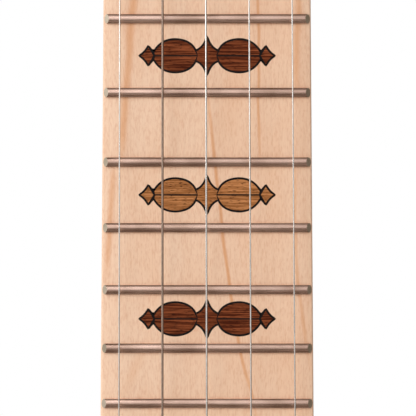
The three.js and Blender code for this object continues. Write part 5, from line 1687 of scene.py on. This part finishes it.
@dataclass
class FifthPeg:
    """The fifth string's friction peg in the bass side of the neck, turned about the X axis."""

    below_face: float = 4.8
    spigot: float = 2.6
    spigot_length: float = 14.0
    bore: float = 1.7
    flange: float = 4.1
    flange_thickness: float = 1.4
    post: float = 3.6
    post_length: float = 5.0
    winding_inset: float = 1.0
    collar: float = 5.0
    collar_thickness: float = 2.0
    stem_length: float = 3.0

    @property
    def y(self) -> float:
        """Depth of the peg's axis."""
        return LAYOUT.board_face + self.below_face

    def laid(self, patch: Patch) -> Patch:
        """The patch with its Y axis turned to point out of the bass side, at the peg's place."""
        edge, (x, y, z) = -LAYOUT.treble_edge(LAYOUT.fifth_peg), patch.points.T
        return Patch(np.stack([edge - y, self.y + x, z - LAYOUT.fifth_peg], axis=1), patch.faces)

    def build(self) -> None:
        """Adds the bushing, and the shaft with its collar and button."""
        b, g, p, t = self.bore, SEAT_GAP, self.spigot, self.flange
        f, foot = g + self.flange_thickness, -self.spigot_length
        bushing = turned([(b, foot), (p, foot), (p, g), (t, g), (t, f - 0.4), (t - 0.4, f), (b, f)], 48, ring=True)
        add_piece("fifth_peg_collet", [self.laid(bushing)],
                  Dressing((NICKEL,), "peg_plate", replaces=("fifth_peg_bushing",)))
        low, high = f + g, f + g + self.post_length
        end = high + self.collar_thickness
        stem = end + self.stem_length
        p, c = self.post, self.collar
        shaft = turned([(0, foot), (b - g, foot), (b - g, low), (p, low), (p, low + 0.5), (p - 0.15, low + 1),
                        (p - 0.15, high - 0.6), (p, high), (c - 0.4, high), (c, high + 0.4), (c, end - 0.5),
                        (c - 0.5, end), (3, end + 0.5), (2.5, stem - 0.4), (3.2, stem), (3.2, stem + 0.6),
                        (0, stem + 0.6)], 56)
        button = Button().patch(stem)
        add_piece("fifth_peg_shaft", [self.laid(shaft)], Dressing((NICKEL,), "peg_plate", body="fifth_peg"))
        add_piece("fifth_peg_button", [self.laid(button)],
                  Dressing((BUTTON,), "peg_button", body="fifth_peg", replaces=("fifth_peg",), sharp_angle=60))


# The pot

@dataclass
class Rings:
    """Rim, head and flesh hoop, all turned about the pot's axis."""

    rim_back: float = 66.0
    head_thickness: float = 0.5
    flesh_front: float = 8.3
    flesh_back: float = 13.8
    flesh_width: float = 5.5
    front_round: float = 1.5
    back_ease: float = 1.2
    film_bend: float = 1.4
    sides: int = 192

    def rim(self) -> Patch:
        """Rim: a straight wall with a rounded inner front edge and eased back edges.

        Returns:
            The patch.
        """
        inner, outer, r, e = LAYOUT.rim_inner, LAYOUT.rim_outer, self.front_round, self.back_ease
        front, back = self.head_thickness + SEAT_GAP, self.rim_back
        turn = quarter_turn(4)
        round_edge = [(inner + r * (1 - math.cos(a)), front + r * (1 - math.sin(a))) for a in turn]
        easing = [(outer - 0.4, front), (outer, front + 0.4), (outer, back - e), (outer - e, back), (inner + e, back),
                  (inner, back - e)]
        return turned(round_edge + easing, self.sides, ring=True)

    def skin(self) -> Patch:
        """Head: a flat film that bends over the rim's edge by a quarter round and hangs down as a collar.

        Returns:
            The patch.
        """
        inner, t = LAYOUT.collar_inner, self.head_thickness
        outer, bend = inner + t, self.film_bend
        turn = quarter_turn(5)
        crown = [(outer - bend * (1 - math.sin(a)), bend * (1 - math.cos(a))) for a in turn]
        radii = [(r, 0.0) for r in (0, 20, 60, 100, 130)]
        back = [(outer, self.flesh_front + 1), (inner, self.flesh_front + 1), (inner, bend), (inner - bend, t), (0, t)]
        return turned(radii + crown + back, self.sides)

    def flesh_hoop(self) -> Patch:
        """Flesh hoop: the aluminium channel that holds the film's edge.

        Returns:
            The patch.
        """
        low, high = LAYOUT.collar_inner, LAYOUT.collar_inner + self.flesh_width
        front, back = self.flesh_front, self.flesh_back
        return turned([(low + 0.5, front), (high - 0.8, front), (high, front + 0.8), (high, back - 0.8),
                       (high - 0.8, back), (low, back)], self.sides, ring=True)

    def build(self) -> None:
        """Adds rim, head and flesh hoop."""
        place = LAYOUT.pot
        add_piece("ply_rim", [self.rim()], Dressing((RIM,), "maple_rim", replaces=("rim",)), place)
        add_piece("head_film", [self.skin()], Dressing((SKIN,), "drum_skin", replaces=("drum_head",)), place)
        add_piece("flesh_hoop", [self.flesh_hoop()], Dressing((NICKEL,), "hoop_plate"), place)


@dataclass
class TensionHoop:
    """The notched hoop that the hooks draw down over the head."""

    front: float = -1.5
    shelf: float = 8.0
    back: float = 14.5
    inner: float = 141.4
    skirt: float = 145.8
    outer: float = 148.6
    notch_floor: float = 1.5
    notch_half: float = 2.6
    notch_radius: float = 143.3
    neck_floor: float = 3.1
    neck_half: float = 24.95
    ease: float = 0.5

    def build(self) -> None:
        """Adds the hoop: its section goes round the axis, with its top lowered at each hook and at the neck."""
        hooks = Hooks.turns()
        notch = self.notch_half / self.outer
        neck = math.asin(self.neck_half / self.outer)
        edges = np.concatenate([hooks + side * notch * k for side in (-1, 1) for k in (0.995, 1.005)])
        neck_edges = np.array([side * neck * k for side in (-1, 1) for k in (0.999, 1.001)])
        turn = np.unique(np.mod(np.concatenate([np.linspace(0, TAU, 240, endpoint=False), edges, neck_edges]), TAU))
        away = np.abs(np.mod(turn[:, None] - hooks + math.pi, TAU) - math.pi).min(axis=1)
        from_neck = np.abs(np.mod(turn + math.pi, TAU) - math.pi)
        lip = np.where(from_neck < neck, self.neck_floor, self.front)
        rail = np.where(from_neck < neck, self.neck_floor, np.where(away < notch, self.notch_floor, self.front))
        e, one = self.ease, np.ones_like(turn)
        radii = (self.inner, self.inner + e, self.notch_radius, self.notch_radius, self.outer - e, self.outer,
                 self.outer, self.outer - e, self.skirt, self.skirt, self.inner)
        radius = np.stack([one * r for r in radii], 1)
        w = np.stack([lip + e, lip, lip, rail, rail, rail + e, one * (self.back - e), one * self.back,
                      one * self.back, one * self.shelf, one * self.shelf], 1)
        rings = np.stack([radius * np.sin(turn)[:, None], w, radius * np.cos(turn)[:, None]], -1)
        dressing = Dressing((NICKEL,), "hoop_plate", replaces=("tension_hoop",))
        add_piece("notched_hoop", [skinned(rings, loop=True)], dressing, LAYOUT.pot)


@dataclass
class Hooks:
    """The bracket band with its shoes, and sixteen hooks with their nuts."""

    count: int = 16
    shank: float = 2.0
    claw_half: float = 2.3
    claw_thick: float = 1.15
    claw_reach: float = 7.5
    place: float = 151.1
    top: float = -1.2
    bend: float = 3.0
    band_front: float = 31.0
    band_width: float = 12.0
    band_thickness: float = 3.0
    band_round: float = 0.6
    heel_half_gap: float = 18.0
    shoe: float = 4.5
    nut: float = 4.5
    nut_length: float = 17.7

    @staticmethod
    def turns() -> Array:
        """Angles of the hooks from the neck: evenly spaced, with the neck midway between two."""
        return TAU * (np.arange(Hooks.count) + 0.5) / Hooks.count

    def band(self) -> Patch:
        """Band: a rounded flat section carried round the rim, open at the heel.

        Returns:
            The patch.
        """
        gap = self.heel_half_gap / LAYOUT.collar_inner
        turn = np.linspace(gap, TAU - gap, 200)[:, None]
        section = rounded_rectangle(self.band_thickness / 2, self.band_width / 2, self.band_round)
        radius = LAYOUT.collar_inner + self.band_thickness / 2 + section[None, :, 0]
        w = self.band_front + self.band_width / 2 + section[None, :, 1]
        return skinned(np.stack([radius * np.sin(turn), w + 0 * turn, radius * np.cos(turn)], -1))

    def hook(self) -> Patch:
        """Hook: a round shank that bends over the hoop by a quarter circle and flattens into its claw.

        Returns:
            The patch.
        """
        turn = quarter_turn(9)
        level = self.top + self.claw_thick
        down = np.linspace(self.band_front + self.band_width, level + self.bend, 8)
        inner = self.place - self.bend
        shank = np.stack([0 * down, down, self.place + 0 * down], 1)
        corner = np.stack([0 * turn, level + self.bend * (1 - np.sin(turn)), inner + self.bend * np.cos(turn)], 1)[1:]
        reach = np.linspace(inner, self.place - self.claw_reach + 0.2, 7)[1:]
        claw = np.stack([0 * reach, level + 0 * reach, reach], 1)
        path = np.concatenate([shank, corner, claw])
        share = smooth_step((np.arange(len(path)) - (len(shank) - 1)) / len(corner))
        across = self.shank + (self.claw_half - self.shank) * share
        through = self.shank + (self.claw_thick - self.shank) * share
        return tube(path, 18, across, through)

    def hook_nut(self) -> Patch:
        """Nut: a long hexagon with a chamfered collar and a domed end.

        Returns:
            The patch.
        """
        start, r = self.band_front + self.band_width + SEAT_GAP, self.nut
        end = start + self.nut_length
        profile = [(0, start), (r - 0.6, start), (r, start + 0.5), (r, end - 3.4), (r - 0.9, end - 2.4),
                   (r - 1.6, end - 0.9), (r - 3, end), (0, end)]
        return moved(turned(profile, 6), (0, 0, self.place))

    def shoe_patch(self) -> Patch:
        """Shoe: a half round block on the band that the hook's shank passes through.

        Returns:
            The patch.
        """
        turn = np.linspace(0, math.pi, 25)
        arc = np.stack([self.shoe * np.cos(turn), self.shoe * np.sin(turn)], 1)
        foot = LAYOUT.collar_inner + self.band_thickness / 2 - self.place
        outline = np.concatenate([arc, [(-self.shoe, foot), (self.shoe, foot)]])
        return moved(plate(outline, self.band_front, self.band_front + self.band_width), (0, 0, self.place))

    def build(self) -> None:
        """Adds the band with its shoes, then each hook and its nut."""
        place = LAYOUT.pot
        shoes = [moved(self.shoe_patch(), turn_y=turn) for turn in self.turns()]
        add_piece("band_and_shoes", [self.band(), *shoes],
                  Dressing((NICKEL,), "hook_plate", replaces=("bracket_band",), bevel=0.5), place)
        for number, turn in enumerate(self.turns(), start=1):
            dressing = Dressing((NICKEL,), "hook_plate")
            add_piece(f"hook_{number:02d}", [moved(self.hook(), turn_y=turn)], dressing, place)
            add_piece(f"hook_nut_{number:02d}", [moved(self.hook_nut(), turn_y=turn)],
                      Dressing((NICKEL,), "hook_plate", bevel=0.25, sharp_angle=25), place)


@dataclass
class CoordinatorRod:
    """The rod across the pot, with its flanges, studs and the nut at the tail."""

    depth: float = 38.0
    radius: float = 4.5
    flange: float = 9.0
    flange_thickness: float = 3.0
    stud: float = 3.0
    grip: float = 26.0
    tail_nut: float = 5.6
    tail_nut_length: float = 6.0
    tail_outer: float = 151.1

    def build(self) -> None:
        """Adds the rod: turned, with reduced ends, dished flanges and a domed hexagon nut."""
        end = math.sqrt(LAYOUT.rim_inner ** 2 - self.flange ** 2) - SEAT_GAP
        f, r, s, tail = self.flange, self.radius, self.stud, self.tail_outer + SEAT_GAP
        face = end - self.flange_thickness
        half = [(0, 0), (r, 0), (r, end - 12), (r - 0.9, end - 10.5), (r - 0.9, end - 7), (r + 1.2, end - 6.2),
                (r + 1.2, end - 3.6), (f - 0.8, face), (f, face + 0.7), (f, end), (s, end)]
        tip = LAYOUT.rim_outer + self.grip
        upper = half + [(s, tip), (0, tip)]
        tip = tail + self.tail_nut_length
        lower = [(x, -y) for x, y in half + [(s, tip), (0, tip)]]
        n, a, b = self.tail_nut, -tail, -tail - self.tail_nut_length
        nut = turned([(0, a), (n - 0.5, a), (n, a - 0.5), (n, b + 1.5), (n - 1.2, b + 0.3), (n - 2.6, b), (0, b)], 6)
        turned_in_pot = [self.laid(patch) for patch in (turned(upper, 64), turned(lower, 64), nut)]
        add_piece("rod_with_flanges", turned_in_pot,
                  Dressing((ROD,), "rod_steel", replaces=("coordinator_rod",), bevel=0.15, sharp_angle=28), LAYOUT.pot)

    def laid(self, patch: Patch) -> Patch:
        """The patch with its Y axis turned along the pot's z axis, at the rod's depth."""
        x, y, z = patch.points.T
        return Patch(np.stack([x, self.depth - z, y], axis=1), patch.faces)


@dataclass
class Bridge:
    """The maple bridge on three feet, with its ebony cap and five notches."""

    half_width: float = 38.0
    height: float = 16.0
    base_half: float = 4.5
    top_half: float = 1.3
    cap: float = 2.2
    foot_gap: float = 0.05
    notch_depth: float = 0.6
    notch_half: float = 0.45
    feet: Pair = (0.14, 0.7)

    def underside(self, x: Array) -> Array:
        """Height of the arches: a cubic curve from the centre foot to the outer one, nothing at the feet."""
        along, up = bezier(((self.feet[0], 0), (self.feet[0], 0.61), (self.feet[1], 0.61), (self.feet[1], 0)), 80).T
        return self.height * np.interp(np.abs(x) / self.half_width, along, up, left=0, right=0)

    def shoulder(self, x: Array) -> Array:
        """Height of the top: flat, then falling by a cubic curve to the outer foot's end."""
        along, up = bezier(((self.feet[1], 1), (0.72, 0.6), (0.8, 0.32), (1, 0.2)), 60).T
        return self.height * np.interp(np.abs(x) / self.half_width, along, up)

    def slice_rings(self, x: Array, low: Array, high: Array) -> Array:
        """Rings across the bridge: its thickness falls evenly from the feet to the top.

        Args:
            x: places across the bridge.
            low: height of the underside at each.
            high: height of the upper side at each.

        Returns:
            Rings in the pot's frame, where a height is a depth before the head.
        """
        up = np.stack([low, low, (low + high) / 2, high, high, (low + high) / 2], 1)
        side = np.array([-1, 1, 1, 1, -1, -1])
        half = self.base_half + (self.top_half - self.base_half) * up / self.height
        z = side * half - LAYOUT.bridge_place
        stretch = (self.height + SEAT_GAP - self.foot_gap) / self.height
        return np.stack([x[:, None] + 0 * up, -self.foot_gap - up * stretch, z], -1)

    def build(self) -> None:
        """Adds the maple body and the ebony cap with a notch for each string."""
        w = self.half_width
        near = (np.array(self.feet)[:, None] + np.linspace(0, 0.02, 5) * np.array([[1], [-1]])).ravel()
        shoulders = np.linspace(self.feet[1], 0.74, 8)
        half = np.unique(np.concatenate([np.linspace(0, 1, 60), near, shoulders])) * w
        x = np.concatenate([-half[::-1][:-1], half])
        low, high = self.underside(x), np.minimum(self.shoulder(x), self.height - self.cap)
        add_piece("bridge_body", [skinned(self.slice_rings(x, low, high))],
                  Dressing((BRIDGE,), "bridge_maple", replaces=("bridge",), bevel=0.25, sharp_angle=40), LAYOUT.pot)
        notches = np.array([Strings.bridge_x(string) for string in range(1, 6)])
        edge = self.feet[1] * w + 0.35
        around = (notches[:, None] + np.array([-1, 0, 1]) * self.notch_half).ravel()
        x = np.unique(np.concatenate([np.linspace(-edge, edge, 30), around]))
        x = x[np.abs(x) <= edge]
        dip = self.notch_depth * np.maximum(1 - np.abs(x[:, None] - notches) / self.notch_half, 0).max(axis=1)
        under = np.full(len(x), self.height - self.cap)
        add_piece("bridge_cap", [skinned(self.slice_rings(x, under, self.height - dip))],
                  Dressing((EBONY,), "bridge_maple", bevel=0.12, sharp_angle=50), LAYOUT.pot)


@dataclass
class Tailpiece:
    """The plated tailpiece: a tapering plate over the hoop, a strap down to the rod's stud, and five pins."""

    front: float = 110.0
    front_half: float = 18.0
    strap_half: float = 11.0
    level: float = -3.0
    thickness: float = 2.0
    strap_place: float = 150.1
    strap_end: float = 46.0
    bend: float = 2.6
    tip_round: float = 4.0
    lip: float = 3.0
    lip_round: float = 2.2
    edge_round: float = 0.45
    pin: float = 1.2
    pin_height: float = 4.0

    def sheet(self) -> Patch:
        """Sheet: a rounded flat section carried along the plate, round a quarter bend and down the strap.

        Returns:
            The patch.
        """
        turn = quarter_turn(7)
        flat_z = np.linspace(-self.front, -self.strap_place + self.bend, 14)
        flat = np.stack([np.full(14, self.level), flat_z], 1)
        corner = np.stack([self.level + self.bend * (1 - np.cos(turn)),
                           -self.strap_place + self.bend * (1 - np.sin(turn))], 1)[1:]
        straight_end = self.strap_end - self.tip_round
        down = np.linspace(self.level + self.bend, straight_end, 20)[1:]
        tip = straight_end + self.tip_round * np.sin(turn)[1:]
        strap = np.stack([np.concatenate([down, tip]), np.full(len(down) + len(tip), -self.strap_place)], 1)
        path = np.concatenate([flat, corner, strap])
        taper = np.clip((-path[:, 1] - self.front) / (self.strap_place - self.front), 0, 1)
        half = self.front_half + (self.strap_half - self.front_half) * taper
        past = np.clip((path[:, 0] - self.strap_end + self.tip_round) / self.tip_round, 0, 1)
        half = half - (1 - np.sqrt(np.maximum(1 - past ** 2, 0))) * self.tip_round
        lip = np.clip((self.front + self.lip + path[:, 1]) / self.lip, 0, 1) * (path[:, 0] <= self.level)
        half = half - self.lip_round * (1 - np.sqrt(np.maximum(1 - lip ** 2, 0)))
        tangent = np.gradient(path, axis=0)
        tangent /= np.linalg.norm(tangent, axis=1, keepdims=True)
        normal = np.stack([-tangent[:, 1], tangent[:, 0]], 1)
        section = rounded_rectangle(1.0, self.thickness / 2, self.edge_round)
        sideways = np.sign(section[:, 0]) * (np.abs(section[:, 0]) - 1)
        x = np.sign(section[None, :, 0]) * half[:, None] + sideways[None]
        across = normal[:, None] * section[None, :, 1:2]
        return skinned(np.stack([x, path[:, None, 0] + across[..., 0], path[:, None, 1] + across[..., 1]], -1))

    def pin_patch(self, string: int) -> Patch:
        """Pin: a straight stem with a rounded head.

        Args:
            string: the number of the string that it holds.

        Returns:
            The patch.
        """
        top, foot, p = self.level - self.thickness / 2 - self.pin_height, self.level, self.pin
        profile = [(0, top), (0.8, top + 0.05), (p + 0.25, top + 0.4), (p + 0.25, top + 0.8), (p, top + 1.1),
                   (p, foot), (0, foot)]
        return moved(turned(profile, 32), (Strings.pin_spacing * (3 - string), 0, -Strings.pin_place))

    def build(self) -> None:
        """Adds the sheet and its pins."""
        pins = [self.pin_patch(string) for string in range(1, 6)]
        add_piece("tailpiece_plate", [self.sheet(), *pins],
                  Dressing((NICKEL,), "hoop_plate", replaces=("tailpiece",)), LAYOUT.pot)


# Stage

@dataclass(frozen=True)
class Lamp:
    """A soft rectangular lamp: where it hangs, what it points at and its size in metres, and its power in watts."""

    name: str
    place: Triple
    aim: Triple
    size: Pair
    power: float

    def build(self) -> None:
        """Adds the lamp."""
        data = bpy.data.lights.new(self.name, "AREA")
        data.shape, data.size, data.size_y, data.energy = "RECTANGLE", *self.size, self.power
        lamp = new_object(self.name, data)
        lamp.location = self.place
        lamp.rotation_euler = (Vector(self.place) - Vector(self.aim)).to_track_quat("Z", "Y").to_euler()


@dataclass
class Stage:
    """Camera, floor, lamps and world. The key lamp is wide, so that no string throws a band of shadow."""

    lens: float = 200.0
    sensor: float = 36.0
    field: float = 94.2
    aim: Pair = (0.21, -412.7)
    clip_start: float = 0.01
    floor_radius: float = 1.6
    floor_fade: Pair = (0.56, 1.44)
    floor_gap: float = 0.0005
    floor_colour: str = "#F4F2EE"
    room: str = "#766A60"
    sky: str = "#F6F2EE"
    flag_half_width: Pair = (0.13, 0.24)
    flag_start: Pair = (-0.065, -0.045)
    lamps: tuple[Lamp, ...] = (Lamp("key", (-0.9, -1.1, 0.2), (0, 0, -0.38), (1.3, 1.0), 16.9),
                               Lamp("fill", (1.2, 1.4, 0.6), (0, 0, -0.35), (1.0, 1.0), 8.0))

    def camera(self) -> None:
        """Adds the camera, square to the board, as far off as its lens needs for the picture's field."""
        data = bpy.data.cameras.new("camera")
        data.lens, data.sensor_width, data.clip_start = self.lens, self.sensor, self.clip_start
        distance = self.field * self.lens / self.sensor
        camera = new_object("camera", data)
        camera.location = [value * MILLIMETRE for value in (self.aim[0], LAYOUT.board_face - distance, self.aim[1])]
        camera.rotation_euler = (math.pi / 2, 0, 0)
        bpy.context.scene.camera = camera

    def floor(self) -> None:
        """Adds a pale floor under the banjo's lowest point, whose rim fades into the background.

        Metal sees a strip of it darkened before the banjo, as by a studio's flag. The strip's edges fade from the
        first to the second of each pair of places.
        """
        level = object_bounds()[0][2] - self.floor_gap
        mesh = bpy.data.meshes.new("floor")
        turn = np.linspace(0, TAU, 128, endpoint=False)
        disc = np.stack([np.cos(turn), np.sin(turn), 0 * turn], 1) * self.floor_radius + (0, 0, level)
        mesh.from_pydata(disc, [], [list(range(len(turn)))])
        floor = new_object("floor", mesh)
        material = bpy.data.materials.new("pale_floor")
        material.use_nodes = True
        tree = material.node_tree
        tree.nodes.clear()
        here = add_node(tree, "TexCoord").outputs["Object"]
        flat = add_node(tree, "VectorMath", {0: here, 1: (1, 1, 0)}, operation="MULTIPLY")
        radius = add_node(tree, "VectorMath", {0: flat}, operation="LENGTH").outputs["Value"]
        x, y, _ = add_node(tree, "SeparateXYZ", {"Vector": here}).outputs
        aside = add_node(tree, "Math", {0: x}, operation="ABSOLUTE")
        flag = add_node(tree, "LightPath").outputs["Is Glossy Ray"]
        for way, (full, none) in ((aside, self.flag_half_width), (y, self.flag_start)):
            edge = ramped(way, full, none, 1, 0)
            flag = add_node(tree, "Math", {0: flag, 1: edge}, operation="MULTIPLY")
        diffuse = add_node(tree, "BsdfDiffuse", {"Color": mixed(flag, self.floor_colour, self.room)})
        clear = add_node(tree, "BsdfTransparent")
        mix = add_node(tree, "MixShader", {0: ramped(radius, *self.floor_fade), 1: diffuse, 2: clear})
        add_node(tree, "OutputMaterial", {"Surface": mix})
        mesh.materials.append(material)
        floor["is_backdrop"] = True

    def world(self) -> None:
        """White behind the banjo. Metal sees a large white screen before it, up to near the zenith and dimmer to
        the right, in a room of warm grey. Matt things get a soft light that is stronger from the left."""
        world = bpy.data.worlds.new("studio")
        bpy.context.scene.world = world
        world.use_nodes = True
        tree = world.node_tree
        tree.nodes.clear()
        path = add_node(tree, "LightPath").outputs
        x, y, z = add_node(tree, "SeparateXYZ", {"Vector": add_node(tree, "TexCoord").outputs["Generated"]}).outputs
        above_bench, below_zenith = ramped(z, -0.17, -0.04), ramped(z, 0.68, 0.77, 1.0, 0.0)
        left, behind = ramped(x, -0.12, 0.2, 1.0, 0.05), ramped(y, 0.15, 0.5)
        share = add_node(tree, "Math", {0: above_bench, 1: below_zenith}, operation="MULTIPLY")
        side = add_node(tree, "Math", {0: left, 1: behind}, operation="MAXIMUM")
        share = add_node(tree, "Math", {0: share, 1: side}, operation="MULTIPLY")
        seen = add_node(tree, "Background", {"Color": mixed(share, self.room, "#FFFFFF")})
        white = add_node(tree, "Background", {"Color": (1, 1, 1, 1)})
        from_left = ramped(x, -0.5, 0.5, 0.8, 0.2)
        soft = add_node(tree, "Background", {"Color": linear(self.sky), "Strength": from_left})
        glossy = add_node(tree, "MixShader", {0: path["Is Glossy Ray"], 1: soft, 2: seen})
        clear = add_node(tree, "Math", {0: path["Is Camera Ray"], 1: path["Is Transmission Ray"]}, operation="MAXIMUM")
        add_node(tree, "OutputWorld", {"Surface": add_node(tree, "MixShader", {0: clear, 1: glossy, 2: white})})

    def build(self) -> None:
        """Sets the colour transform and adds everything round the banjo."""
        bpy.context.scene.view_settings.view_transform = "Standard"
        self.camera()
        self.world()
        self.floor()
        for lamp in self.lamps:
            lamp.build()


def main() -> None:
    """Builds the stage and every sub-assembly."""
    logging.basicConfig(level=logging.INFO, format="%(message)s")
    Stage().build()
    parts = [Fingerboard(), Frets(), Markers(), Nut(), Strings(), Neck(), TrussRod(), *[Peg(n) for n in (1, 2, 3, 4)],
             FifthPeg(), Rings(), TensionHoop(), Hooks(), CoordinatorRod(), Bridge(), Tailpiece()]
    for part in parts:
        part.build()
        log.info("%s is built", type(part).__name__)


if __name__ == "__main__":
    main()
